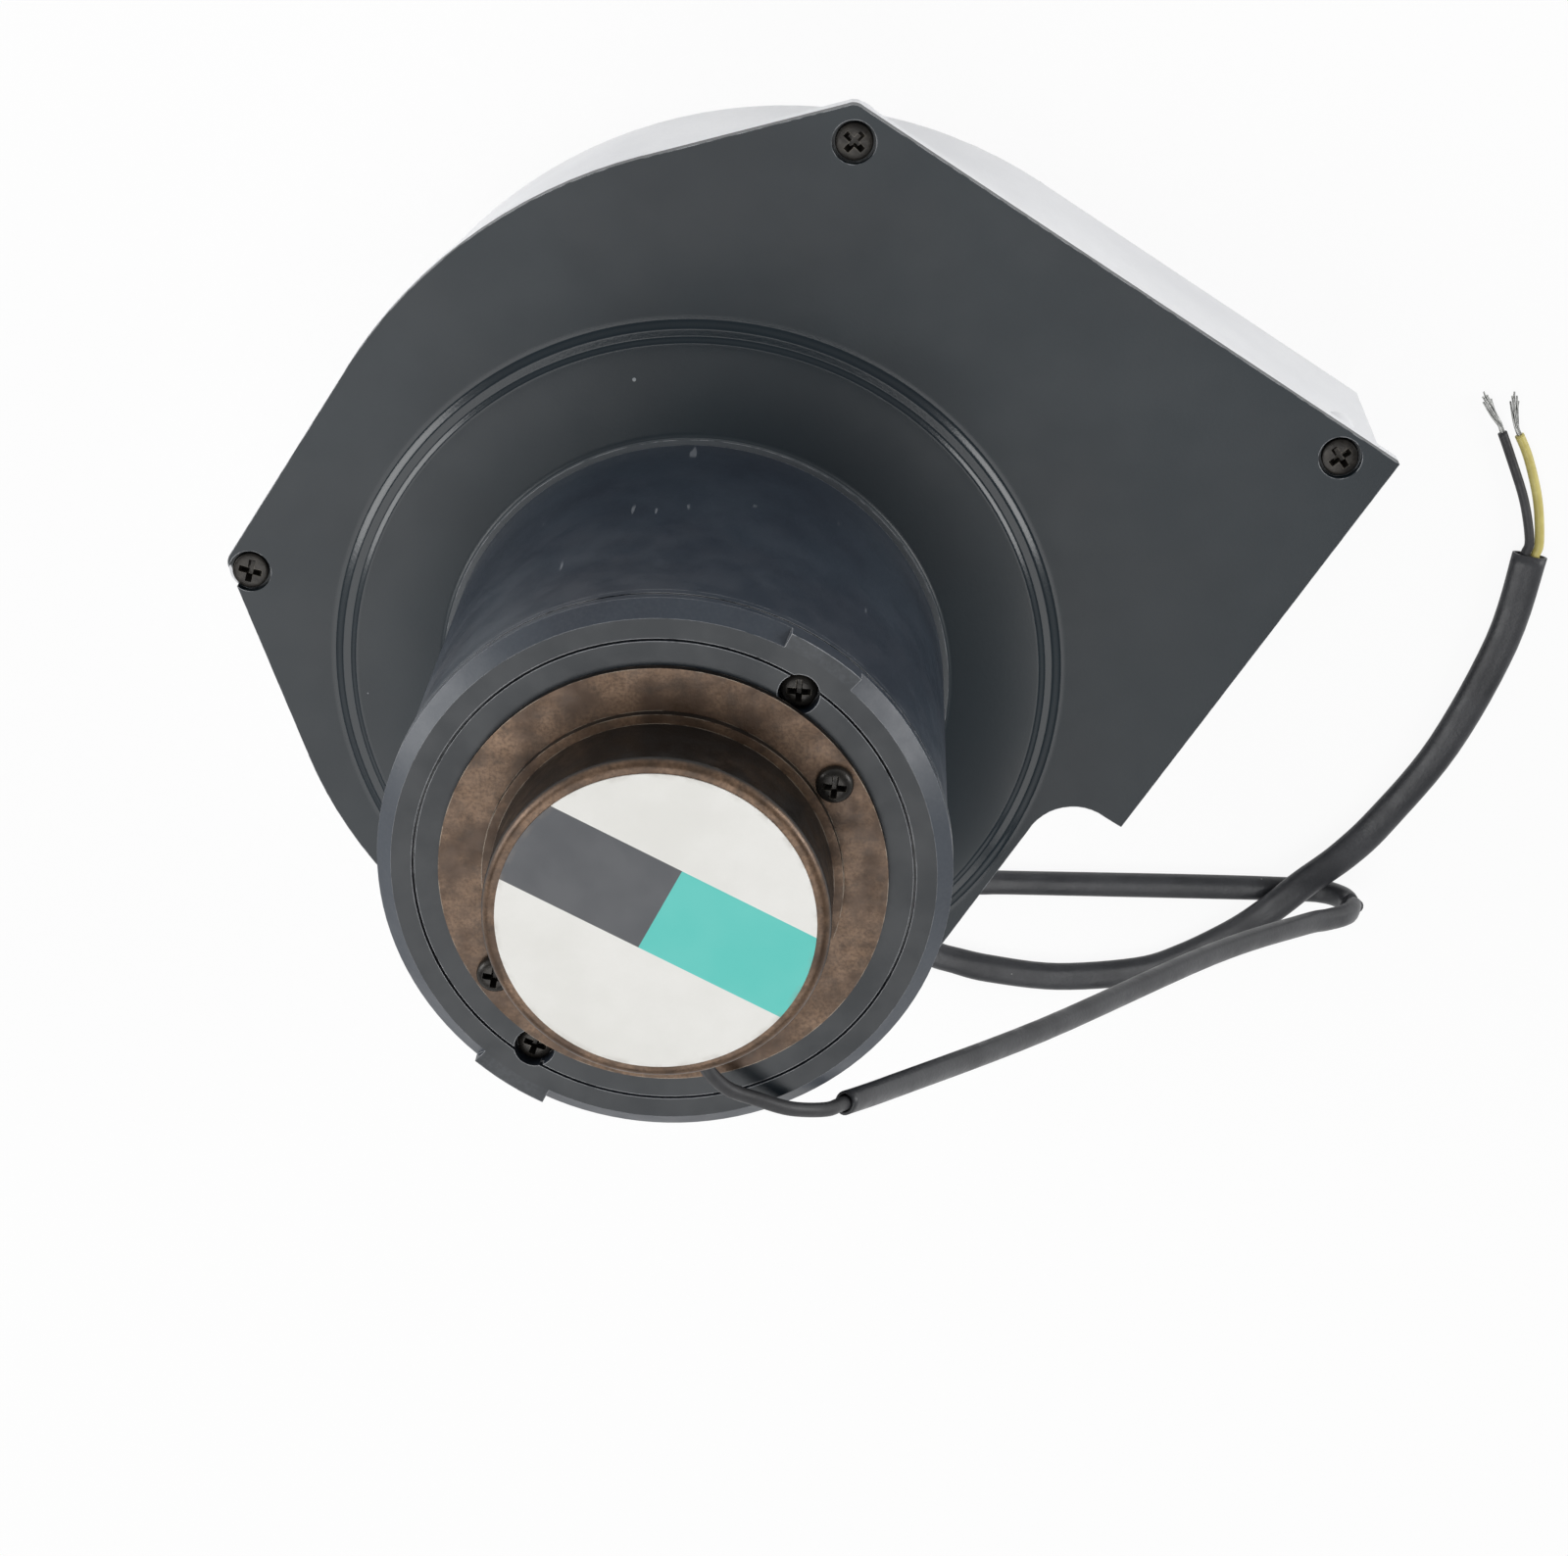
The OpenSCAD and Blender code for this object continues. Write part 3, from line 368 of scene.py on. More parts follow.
@dataclass(frozen=True)
class Finish:
    """A finish with a tone that drifts, grain, dust, worn edges and relief. Sizes in millimetres."""

    name: str
    tone: Tone
    shade: Tone
    drift: float = 22.0
    grain: float = 0.7
    grain_share: float = 0.3
    rough: Pair = (0.4, 0.6)
    metal: float = 0.0
    specular: float = 0.5
    relief: float = 0.02
    dust: float = 0.0
    dust_tone: Tone = (150.0, 150.0, 148.0)
    dust_pitch: float = 5.0
    dust_size: float = 0.3
    wear: float = 0.0
    wear_tone: Tone = (168.0, 170.0, 174.0)
    wear_reach: float = 0.3
    wear_size: float = 3.0
    wear_limits: Pair = (0.62, 0.7)
    wear_lowers: Pair = (0.4, 0.25)

    def make(self) -> bpy.types.Material:
        """Makes the material.

        Returns:
            The material.
        """
        shader = Shader(self.name)
        shader.surface.inputs["Metallic"].default_value = self.metal
        shader.surface.inputs["Specular IOR Level"].default_value = self.specular
        fine = shader.noise(self.grain, detail=2.0)
        colour = self.paint(shader, fine)
        if self.dust:
            specks = shader.specks(self.dust_pitch, self.dust_size, self.dust)
            colour = shader.mix(specks, colour, self.dust_tone)
        if self.wear:
            low, high = (v - step * self.wear for v, step in zip(self.wear_limits, self.wear_lowers))
            bare = Patches(self.wear_size, detail=4.0, low=low, high=high)
            worn = shader.times(shader.edges(self.wear_reach), shader.patches(bare))
            colour = shader.mix(worn, colour, self.wear_tone)
        return shader.close(colour, self.gloss(shader), self.height(shader, fine), self.relief)

    def gloss(self, shader: Shader) -> Socket:
        """Gives the roughness, which drifts over the surface.

        Args:
            shader: The material in the making.

        Returns:
            The roughness.
        """
        least, most = self.rough
        drift = Patches(0.4 * self.drift, detail=4.0, low=0.3, high=0.7, least=least, most=most)
        return shader.patches(drift)

    def paint(self, shader: Shader, fine: Socket) -> Socket:
        """Gives the colour before dust and wear.

        Args:
            shader: The material in the making.
            fine: Its grain.

        Returns:
            The colour.
        """
        drift = shader.patches(Patches(self.drift, detail=5.0, low=0.32, high=0.68))
        grain = shader.span(fine, low=0.3, high=0.75, to_high=self.grain_share)
        return shader.mix(grain, shader.mix(drift, self.tone, self.shade), self.shade)

    def height(self, shader: Shader, fine: Socket) -> Socket:
        """Gives the relief: by itself, the grain."""
        return fine


@dataclass(frozen=True)
class MotorFinish(Finish):
    """Motor paint with painted shade on its level faces, light scratches on its wall and a rubbed rim."""

    # Painted shade on level faces: its darker tone and the levelness at which it starts.
    face_shade_tone: Tone = (25.0, 32.0, 38.0)
    face_shade_level: Pair = (0.85, 0.98)
    wall_level: Pair = (0.5, 0.2)
    scratch_tone: Tone = (120.0, 124.0, 130.0)
    scratch_share: float = 0.8
    scratch_lines: Patches = Patches(1.6, detail=1.0, low=0.70, high=0.74, stretch=(1.0, 1.0, 0.12))
    scratch_places: Patches = Patches(11.0, detail=2.0, low=0.56, high=0.66)
    rim_tone: Tone = (66.0, 71.0, 78.0)
    rim_r: Pair = (39.3, 39.7)
    rim_z: Pair = (132.3, 132.6)
    rim_rubbed: Patches = Patches(0.6, detail=5.0, low=0.35, high=0.75, least=0.1, most=0.45)

    def paint(self, shader: Shader, fine: Socket) -> Socket:
        """Adds painted shade on the level faces, the scratches and the worn rim to the colour.

        Args:
            shader: The material in the making.
            fine: Its grain.

        Returns:
            The colour.
        """
        colour = super().paint(shader, fine)
        # Painted shade: level faces are darkened to stand in for how the light falls on them.
        colour = shader.mix(shader.span(shader.level(), *self.face_shade_level), colour, self.face_shade_tone)
        scratches = shader.times(shader.patches(self.scratch_lines), shader.patches(self.scratch_places),
                                 shader.span(shader.level(), *self.wall_level), self.scratch_share)
        colour = shader.mix(scratches, colour, self.scratch_tone)
        rubbed = shader.times(shader.span(shader.radius(), *self.rim_r),
                              shader.span(shader.axis("Z"), *self.rim_z), shader.patches(self.rim_rubbed))
        return shader.mix(rubbed, colour, self.rim_tone)


@dataclass(frozen=True)
class PlateFinish(Finish):
    """Dark sheet paint, smooth on the pressed steps, with a painted highlight at the neck that the motor
    stands in.
    """

    # Painted highlight: a pale ring at the neck that the motor stands in.
    neck_highlight_tone: Tone = (132.0, 136.0, 140.0)
    neck_r: Pair = (41.9, 41.6)
    neck_highlight_z: Pair = (57.9, 58.2)
    neck_highlight_share: float = 0.35
    rubbed_out: Pair = (61.0, 60.3)
    rubbed_in: Pair = (56.0, 56.5)
    rubbed_rough: float = 0.2

    def gloss(self, shader: Shader) -> Socket:
        """Gives the roughness, lower on the pressed steps, which are rubbed smooth.

        Args:
            shader: The material in the making.

        Returns:
            The roughness.
        """
        flat = super().gloss(shader)
        pressed = shader.times(shader.span(shader.radius(), *self.rubbed_out),
                               shader.span(shader.radius(), *self.rubbed_in))
        lower = shader.times(pressed, shader.value("SUBTRACT", flat, self.rubbed_rough))
        return shader.value("SUBTRACT", flat, lower)

    def paint(self, shader: Shader, fine: Socket) -> Socket:
        """Adds a painted highlight at the neck to the colour.

        Args:
            shader: The material in the making.
            fine: Its grain.

        Returns:
            The colour.
        """
        # Painted highlight round the neck.
        neck_highlight = shader.times(shader.span(shader.radius(), *self.neck_r),
                               shader.span(shader.axis("Z"), *self.neck_highlight_z), self.neck_highlight_share)
        return shader.mix(neck_highlight, super().paint(shader, fine), self.neck_highlight_tone)


@dataclass(frozen=True)
class CoverFinish(Finish):
    """Browned plating, mottled on level faces, with painted shade on the drum's wall."""

    stain_tone: Tone = (58.0, 48.0, 40.0)
    stain_share: float = 0.5
    stains: Patches = Patches(2.4, detail=7.0, low=0.46, high=0.7)
    # Painted shade on the drum's upright wall.
    wall_shade_tone: Tone = (36.0, 33.0, 31.0)
    wall_level: Pair = (0.75, 0.3)
    wall_shade_cover: Patches = Patches(9.0, detail=4.0, low=0.25, high=0.5, least=0.75)

    def paint(self, shader: Shader, fine: Socket) -> Socket:
        """Mottles the level faces and paints shade on the wall.

        Args:
            shader: The material in the making.
            fine: Its grain.

        Returns:
            The colour.
        """
        stains = shader.times(shader.patches(self.stains), self.stain_share)
        colour = shader.mix(stains, super().paint(shader, fine), self.stain_tone)
        # Painted shade: upright faces are darkened.
        wall = shader.times(shader.span(shader.level(), *self.wall_level), shader.patches(self.wall_shade_cover))
        return shader.mix(wall, colour, self.wall_shade_tone)


@dataclass(frozen=True)
class LabelFinish(Finish):
    """White label face with a slanting band, part dark and part green-blue."""

    band_dark: Tone = (84.0, 86.0, 90.0)
    band_bright: Tone = (92.0, 204.0, 194.0)
    slant: float = -28.0
    band: Pair = (-4.5, 8.9)
    change: float = -0.4
    blur: float = 0.03
    soil_tone: Tone = (150.0, 138.0, 124.0)
    soil_r: Pair = (21.6, 22.7)
    soil_share: float = 0.35
    soil: Patches = Patches(2.5, detail=5.0, low=0.4, high=0.75)

    def paint(self, shader: Shader, fine: Socket) -> Socket:
        """Lays the bands over the white, and soils the edge.

        Args:
            shader: The material in the making.
            fine: Its grain.

        Returns:
            The colour.
        """
        turn = math.radians(self.slant)
        along = shader.vector("DOT_PRODUCT", shader.place, (math.cos(turn), math.sin(turn), 0.0))
        across = shader.vector("DOT_PRODUCT", shader.place, (-math.sin(turn), math.cos(turn), 0.0))
        low, high = self.band
        inside = shader.times(shader.span(across, low - self.blur, low + self.blur),
                              shader.span(across, high + self.blur, high - self.blur))
        bright = shader.span(along, self.change - self.blur, self.change + self.blur)
        bands = shader.mix(bright, self.band_dark, self.band_bright)
        colour = shader.mix(inside, super().paint(shader, fine), bands)
        soil = shader.times(shader.span(shader.radius(), *self.soil_r), shader.patches(self.soil),
                            self.soil_share)
        return shader.mix(soil, colour, self.soil_tone)


@dataclass(frozen=True)
class StripedFinish(Finish):
    """A finish with fine stripes: the sheets of a stack, turned grooves or the turns of a winding."""

    pitch: float = 0.5
    along: Point = (0.0, 0.0, 1.0)
    line_tone: Tone = (60.0, 60.0, 62.0)
    line_share: float = 0.5
    line_wave: Pair = (-0.9, 0.4)
    grain_height: float = 0.3

    def stripes(self, shader: Shader) -> Socket:
        """Draws the stripes.

        Args:
            shader: The material in the making.

        Returns:
            A mask, 0 in the lines between the stripes.
        """
        per_mm = tuple(FULL_TURN / self.pitch * v for v in self.along)
        turns = shader.vector("DOT_PRODUCT", shader.place, per_mm)
        return shader.span(shader.value("SINE", turns), *self.line_wave)

    def paint(self, shader: Shader, fine: Socket) -> Socket:
        """Darkens the lines between the stripes."""
        lines = shader.times(shader.value("SUBTRACT", 1.0, self.stripes(shader)), self.line_share)
        return shader.mix(lines, super().paint(shader, fine), self.line_tone)

    def height(self, shader: Shader, fine: Socket) -> Socket:
        """Gives the relief of the stripes with the grain on them."""
        return shader.value("MULTIPLY_ADD", fine, self.grain_height, self.stripes(shader))


@dataclass(frozen=True)
class SpangledFinish(Finish):
    """Zinc-coated sheet with its crystals."""

    crystal: float = 3.5
    crystal_share: float = 0.55

    def paint(self, shader: Shader, fine: Socket) -> Socket:
        """Shades each crystal by itself."""
        shaded = shader.times(shader.cells(self.crystal).outputs["Color"], self.crystal_share)
        return shader.mix(shaded, super().paint(shader, fine), self.shade)


FINISHES: dict[Slot, Finish] = {
    Slot.CAST_PAN: Finish(
        "cast pan", (240, 241, 243), (229, 230, 233), drift=40, grain=0.9, grain_share=0.25,
        rough=(0.42, 0.6), relief=0.05, dust=0.06, dust_tone=(150, 148, 146), wear=0.5,
        wear_tone=(236, 236, 238)),
    Slot.DARK_PAINT: PlateFinish(
        "dark paint", (25, 37, 44), (21, 31, 38), drift=34, grain=0.5, rough=(0.36, 0.40), specular=0.48,
        relief=0.012, dust=0.16, dust_tone=(140, 144, 148), wear=0.55, wear_tone=(176, 178, 182)),
    Slot.MOTOR_PAINT: MotorFinish(
        "motor paint", (51, 59, 69), (44, 50, 60), drift=18, grain=0.45, rough=(0.30, 0.42), relief=0.012,
        dust=0.12, wear=0.8, wear_tone=(166, 168, 172)),
    Slot.BLACK_SCREW: Finish(
        "black screw", (54, 51, 47), (36, 34, 32), drift=2.0, grain=0.25, rough=(0.24, 0.4), metal=0.5,
        wear=0.5, wear_tone=(128, 122, 112), wear_reach=0.15),
    Slot.PLAIN_SHEET: SpangledFinish(
        "zinc sheet", (196, 199, 203), (150, 154, 160), drift=12, rough=(0.32, 0.5), metal=0.9, relief=0.008,
        wear=0.4, wear_tone=(220, 222, 224)),
    Slot.RIVET_METAL: Finish(
        "rivet metal", (186, 187, 188), (140, 141, 144), drift=3, grain=0.3, rough=(0.3, 0.5), metal=0.9,
        relief=0.015),
    Slot.TURNED_ALLOY: StripedFinish(
        "turned alloy", (190, 192, 196), (166, 168, 173), drift=9, rough=(0.3, 0.46), metal=0.9, relief=0.006,
        pitch=0.24, line_tone=(150, 152, 157), line_share=0.4),
    Slot.LAMINATION: StripedFinish(
        "stacked sheets", (132, 134, 138), (104, 106, 110), drift=14, metal=0.8, relief=0.05,
        line_tone=(62, 62, 64), line_share=0.7),
    Slot.WINDING: StripedFinish(
        "enamelled wire", (150, 82, 44), (112, 56, 30), drift=6, rough=(0.22, 0.4), metal=0.55, relief=0.12,
        pitch=0.7, along=(0.55, 0.55, 0.63), line_tone=(70, 34, 20), line_share=0.8),
    Slot.BRIGHT_STEEL: StripedFinish(
        "ground steel", (196, 198, 201), (176, 178, 182), drift=8, rough=(0.18, 0.32), metal=1.0,
        relief=0.003, pitch=0.16, line_tone=(168, 170, 174), line_share=0.35),
    Slot.BALL_STEEL: Finish(
        "ball steel", (206, 208, 211), (188, 190, 194), drift=2, grain=0.2, rough=(0.06, 0.16), metal=1.0,
        relief=0.002),
    Slot.AGED_STEEL: CoverFinish(
        "browned steel", (122, 98, 78), (74, 57, 44), drift=7, grain=0.5, grain_share=0.7, rough=(0.28, 0.46),
        metal=0.45, relief=0.018, dust=0.1, dust_tone=(168, 156, 140), wear=0.5, wear_tone=(158, 146, 132)),
    Slot.LABEL_FACE: LabelFinish(
        "label face", (238, 237, 233), (230, 229, 224), drift=16, grain=0.3, grain_share=0.15,
        rough=(0.42, 0.55), relief=0.006),
    Slot.BLACK_RUBBER: Finish(
        "black rubber", (34, 34, 35), (24, 24, 25), drift=3, grain=0.3, rough=(0.6, 0.78), dust=0.1),
    Slot.LEAD_JACKET: Finish(
        "lead jacket", (64, 64, 66), (48, 48, 50), drift=8, grain=0.5, rough=(0.42, 0.6), relief=0.03,
        dust=0.12, dust_tone=(128, 126, 122)),
    Slot.SLEEVE_JACKET: Finish(
        "sleeve jacket", (64, 65, 68), (48, 49, 52), drift=10, grain=0.6, rough=(0.30, 0.46), relief=0.05,
        dust=0.12, dust_tone=(126, 126, 124)),
    Slot.YELLOW_JACKET: Finish(
        "yellow jacket", (216, 205, 128), (196, 182, 104), drift=5, grain=0.4, rough=(0.36, 0.5),
        dust=0.1, dust_tone=(120, 112, 84)),
    Slot.TINNED_STRAND: Finish(
        "tinned strand", (182, 183, 180), (140, 141, 139), drift=1.5, grain=0.2, rough=(0.28, 0.45),
        metal=0.95, relief=0.01),
}
MATERIALS: dict[Slot, bpy.types.Material] = {slot: finish.make() for slot, finish in FINISHES.items()}


def add_object(name: str, data: bpy.types.ID) -> bpy.types.Object:
    """Puts an object in the scene.

    Args:
        name: Its name.
        data: Its mesh, curve, light or camera.

    Returns:
        The object, at the origin.
    """
    piece = bpy.data.objects.new(name, data)
    bpy.context.scene.collection.objects.link(piece)
    return piece


def plain_mesh(piece: bpy.types.Object) -> bpy.types.Mesh:
    """Turns what an object's modifiers make of it into a plain mesh.

    Args:
        piece: The object, which loses its modifiers.

    Returns:
        The mesh.
    """
    mesh = bpy.data.meshes.new_from_object(piece.evaluated_get(bpy.context.evaluated_depsgraph_get()))
    piece.modifiers.clear()
    return mesh


def mesh_object(name: str, made: bmesh.types.BMesh, slot: Slot, smooth: bool = True) -> bpy.types.Object:
    """Turns a bmesh into an object of the scene.

    Args:
        name: Name of the object.
        made: The mesh, which is freed.
        slot: Slot of its finish.
        smooth: Whether its faces are shaded smooth.

    Returns:
        The object, at the origin.
    """
    bmesh.ops.remove_doubles(made, verts=made.verts, dist=MERGE_DISTANCE)
    bmesh.ops.recalc_face_normals(made, faces=made.faces)
    mesh = bpy.data.meshes.new(name)
    made.to_mesh(mesh)
    made.free()
    for polygon in mesh.polygons:
        polygon.use_smooth = smooth
    mesh.materials.append(MATERIALS[slot])
    return add_object(name, mesh)


def settle(piece: bpy.types.Object, body: Body, node: str) -> bpy.types.Object:
    """Rides a piece on its body and lets it stand for a CAD node.

    Args:
        piece: The finished piece.
        body: The body that carries it.
        node: The CAD node that it replaces.

    Returns:
        The piece.
    """
    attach(piece, body.value)
    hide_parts(node)
    LOG.info("%s: %d faces on %s", piece.name, len(piece.data.polygons), body.value)
    return piece


def circle(steps: int, start: float = 0.0) -> list[Pair]:
    """Returns the directions of equal steps round a circle, from a start given in steps."""
    turns = [FULL_TURN * (k + start) / steps for k in range(steps)]
    return [(math.cos(a), math.sin(a)) for a in turns]


def turned_ring(made: bmesh.types.BMesh, r: float, z: float, steps: int) -> list[bmesh.types.BMVert]:
    """Adds the points of a ring round the Z axis, or one point where it lies on the axis.

    Args:
        made: Where the points are added.
        r: Distance from the axis, in millimetres.
        z: Height, in millimetres.
        steps: Number of points round the axis.

    Returns:
        The points.
    """
    around = circle(steps if r > ON_AXIS else 1)
    return [made.verts.new((r * c * MM, r * s * MM, z * MM)) for c, s in around]


def join_rings(made: bmesh.types.BMesh, low: Sequence[bmesh.types.BMVert],
               high: Sequence[bmesh.types.BMVert]) -> None:
    """Adds the faces between two rings, one of which may be a point.

    Args:
        made: Where the faces are added.
        low: Points of the first ring.
        high: Points of the second ring.
    """
    n, m = len(low), len(high)
    for k in range(max(n, m)):
        corners = (low[k % n], low[(k + 1) % n], high[(k + 1) % m], high[k % m])
        made.faces.new(list(dict.fromkeys(corners)))


def revolve(made: bmesh.types.BMesh, profile: Sequence[Pair], steps: int) -> None:
    """Adds a closed form turned round the Z axis, given in millimetres.

    Args:
        made: Where the form is added.
        profile: Distance from the axis and height of each ring, from pole to pole or in a loop.
        steps: Number of faces round the axis.
    """
    rings = [turned_ring(made, r, z, steps) for r, z in profile]
    is_loop = len(rings[0]) > 1
    for low, high in zip(rings, rings[1:] + rings[:1] if is_loop else rings[1:]):
        join_rings(made, low, high)


def seats(node: str, reach: float) -> list[Vector]:
    """Finds where the separate solids of a CAD node stand.

    Args:
        node: Name of the node.
        reach: How far the points of one solid lie from each other at most, in metres.

    Returns:
        The centre of each, at the node's highest height.
    """
    groups: list[list[Vector]] = []
    for vertex in frame["nodes"][node].data.vertices:
        for group in groups:
            if (group[0] - vertex.co).xy.length < reach:
                group.append(vertex.co.copy())
                break
        else:
            groups.append([vertex.co.copy()])
    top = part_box(node)[1].z
    found = []
    for group in groups:
        xs = [v.x for v in group]
        ys = [v.y for v in group]
        found.append(Vector(((min(xs) + max(xs)) / 2, (min(ys) + max(ys)) / 2, top)))
    return found


class NodeTree(Nodes):
    """Builds one Geometry Nodes tree and runs it on an object."""

    def __init__(self, name: str) -> None:
        """Starts a tree with a geometry going in and coming out.

        Args:
            name: Name of the tree.
        """
        super().__init__(bpy.data.node_groups.new(name, "GeometryNodeTree"))
        self.identifiers: dict[str, str] = {}
        for way in ("INPUT", "OUTPUT"):
            self.tree.interface.new_socket("Geometry", in_out=way, socket_type="NodeSocketGeometry")
        self.source = self.add("NodeGroupInput")
        self.result = self.add("NodeGroupOutput")

    def input(self, name: str, kind: str) -> Socket:
        """Adds a named input.

        Args:
            name: Its name.
            kind: Its type, such as Float, Int, Object or Material.

        Returns:
            The socket that gives its value inside the tree.
        """
        socket = self.tree.interface.new_socket(name, in_out="INPUT", socket_type="NodeSocket" + kind)
        self.identifiers[name] = socket.identifier
        return self.source.outputs[name]

    def turned_copies(self, points: Socket, form: Socket, turn: Socket) -> Socket:
        """Sets a form on points.

        Args:
            points: The points.
            form: The form.
            turn: How far each copy is turned about Z, in radians.

        Returns:
            The copies.
        """
        about = self.add("ShaderNodeCombineXYZ", {"Z": turn})
        return self.add("GeometryNodeInstanceOnPoints", {
            "Points": points, "Instance": form, "Rotation": about.outputs[0]}).outputs[0]

    def close(self, geometry: Socket) -> None:
        """Ends the tree: instances become real and take the finish.

        Args:
            geometry: What the tree has made.
        """
        real = self.add("GeometryNodeRealizeInstances", {"Geometry": geometry})
        finish = self.input("Finish", "Material")
        dressed = self.add("GeometryNodeSetMaterial", {"Geometry": real.outputs[0], "Material": finish})
        self.feed(self.result.inputs[0], dressed.outputs[0])

    def run(self, base: bpy.types.Object, values: dict[str, object]) -> bpy.types.Mesh:
        """Runs the tree on an object.

        Args:
            base: The object that the tree works on, which keeps no modifier.
            values: Values of the named inputs.

        Returns:
            The result, as a plain mesh.
        """
        modifier = base.modifiers.new(self.tree.name, "NODES")
        modifier.node_group = self.tree
        for name, value in values.items():
            modifier[self.identifiers[name]] = value
        return plain_mesh(base)


@dataclass(frozen=True)
class Viewpoint:
    """The photograph's camera. Its place is in millimetres in the part's frame, its clip in metres."""

    place: Point = (33.69, 205.28, 580.36)
    right: Point = (0.99933, 0.0, -0.0366)
    up: Point = (-0.0144, 0.9201, -0.3914)
    back: Point = (0.0337, 0.3917, 0.9195)
    lens: float = 78.39
    sensor: float = 36.0
    clip: Pair = (0.01, 20.0)

    def make(self) -> None:
        """Makes the camera and makes it the scene's."""
        data = bpy.data.cameras.new("photograph")
        data.sensor_fit = "HORIZONTAL"
        data.sensor_width = self.sensor
        data.lens = self.lens
        data.clip_start, data.clip_end = self.clip
        camera = add_object("photograph", data)
        axes = Matrix((self.right, self.up, self.back)).transposed().to_4x4()
        camera.matrix_world = Matrix.Translation(Vector(self.place) * MM) @ axes
        bpy.context.scene.camera = camera


@dataclass(frozen=True)
class Softbox:
    """A square area light that looks at the motor. Metres and watts."""

    name: str
    place: Point
    size: float
    power: float
    target: Point = (0.0, 0.0, 0.07)

    def make(self) -> None:
        """Makes the lamp."""
        data = bpy.data.lights.new(self.name, "AREA")
        data.shape = "SQUARE"
        data.size = self.size
        data.energy = self.power
        aim = Vector(self.target) - Vector(self.place)
        turn = aim.to_track_quat("-Z", "Y").to_matrix().to_4x4()
        add_object(self.name, data).matrix_world = Matrix.Translation(self.place) @ turn


@dataclass(frozen=True)
class Studio:
    """A pale table in soft light. The table's size is in metres, its drop in millimetres."""

    zenith: float = 0.23
    horizon: float = 0.8
    horizon_reach: float = 0.7
    table_size: float = 3.0
    table_drop: float = 0.25
    table_glow: float = 0.92
    table_white: float = 0.86
    boxes: tuple[Softbox, ...] = (
        Softbox("left box", (-1.15, 0.3, 0.5), size=0.68, power=7.4),
        Softbox("right box", (1.2, 0.35, 0.48), size=0.6, power=6.6),
        Softbox("high box", (-0.22, -0.42, 1.3), size=1.1, power=8.0),
    )

    def make(self) -> None:
        """Sets up the view, the world, the lamps and the table."""
        bpy.context.scene.view_settings.view_transform = "Standard"
        self.sky()
        for box in self.boxes:
            box.make()
        made = bmesh.new()
        bmesh.ops.create_grid(made, x_segments=2, y_segments=2, size=self.table_size / 2)
        bmesh.ops.translate(made, verts=made.verts, vec=(0.0, 0.0, -self.table_drop * MM))
        mesh = bpy.data.meshes.new("table")
        made.to_mesh(mesh)
        made.free()
        mesh.materials.append(self.table())
        add_object("table", mesh)

    def sky(self) -> None:
        """Makes a world that looks white and lights softly, more from the sides than from above."""
        world = bpy.data.worlds.new("studio")
        world.use_nodes = True
        bpy.context.scene.world = world
        nodes = Nodes(world.node_tree)
        background = next(n for n in nodes.tree.nodes if n.type == "BACKGROUND")
        background.inputs["Color"].default_value = WHITE
        height = nodes.part(nodes.add("ShaderNodeTexCoord").outputs["Generated"], "Z")
        light = nodes.span(height, 0.0, self.horizon_reach, self.horizon, self.zenith, Ramp.EVEN)
        in_view = nodes.add("ShaderNodeLightPath").outputs["Is Camera Ray"]
        nodes.feed(background.inputs["Strength"], nodes.span(in_view, 0.0, 1.0, light, 1.0, Ramp.EVEN))

    def table(self) -> bpy.types.Material:
        """Makes the table's white, which keeps a faint shadow.

        Returns:
            The material.
        """
        material = bpy.data.materials.new("table")
        material.use_nodes = True
        nodes = Nodes(material.node_tree)
        nodes.tree.nodes.clear()
        diffuse = nodes.add("ShaderNodeBsdfDiffuse", {"Color": (*[self.table_white] * 3, 1.0)})
        glow = nodes.add("ShaderNodeEmission", {"Color": WHITE})
        path = nodes.add("ShaderNodeLightPath").outputs
        seen = nodes.value("MAXIMUM", path["Is Camera Ray"], path["Is Glossy Ray"])
        seen = nodes.value("MAXIMUM", seen, path["Is Transmission Ray"])
        share = nodes.times(seen, self.table_glow)
        mix = nodes.fill(nodes.add("ShaderNodeMixShader"), share, diffuse.outputs[0], glow.outputs[0])
        nodes.add("ShaderNodeOutputMaterial", {"Surface": mix.outputs[0]})
        return material


def spline(points: Sequence[Point], steps: int) -> list[Vector]:
    """Draws a smooth line, a Catmull-Rom curve, through points.

    Args:
        points: The points, in millimetres.
        steps: Number of steps between two of them.

    Returns:
        Points of the line, in metres.
    """
    p = [Vector(q) * MM for q in points]
    n = len(p) - 1
    line = []
    for i in range(n):
        a, b, c, d = p[max(i - 1, 0)], p[i], p[i + 1], p[min(i + 2, n)]
        for k in range(steps):
            t = k / steps
            line.append(0.5 * (2 * b + (c - a) * t + (2 * a - 5 * b + 4 * c - d) * t * t
                               + (3 * b - a - 3 * c + d) * t * t * t))
    return [*line, p[n]]


def cross_axes(path: Sequence[Vector]) -> list[tuple[Vector, Vector]]:
    """Finds the level and the upright direction across a path.

    Args:
        path: Points of the path.

    Returns:
        Both directions at each point, none of them turned over on the way.
    """
    last = len(path) - 1
    axes: list[tuple[Vector, Vector]] = []
    for i in range(last + 1):
        ahead = (path[min(i + 1, last)] - path[max(i - 1, 0)]).normalized()
        side = ahead.cross(UP).normalized()
        if axes and side.dot(axes[-1][0]) < 0.0:
            side.negate()
        axes.append((side, side.cross(ahead)))
    return axes


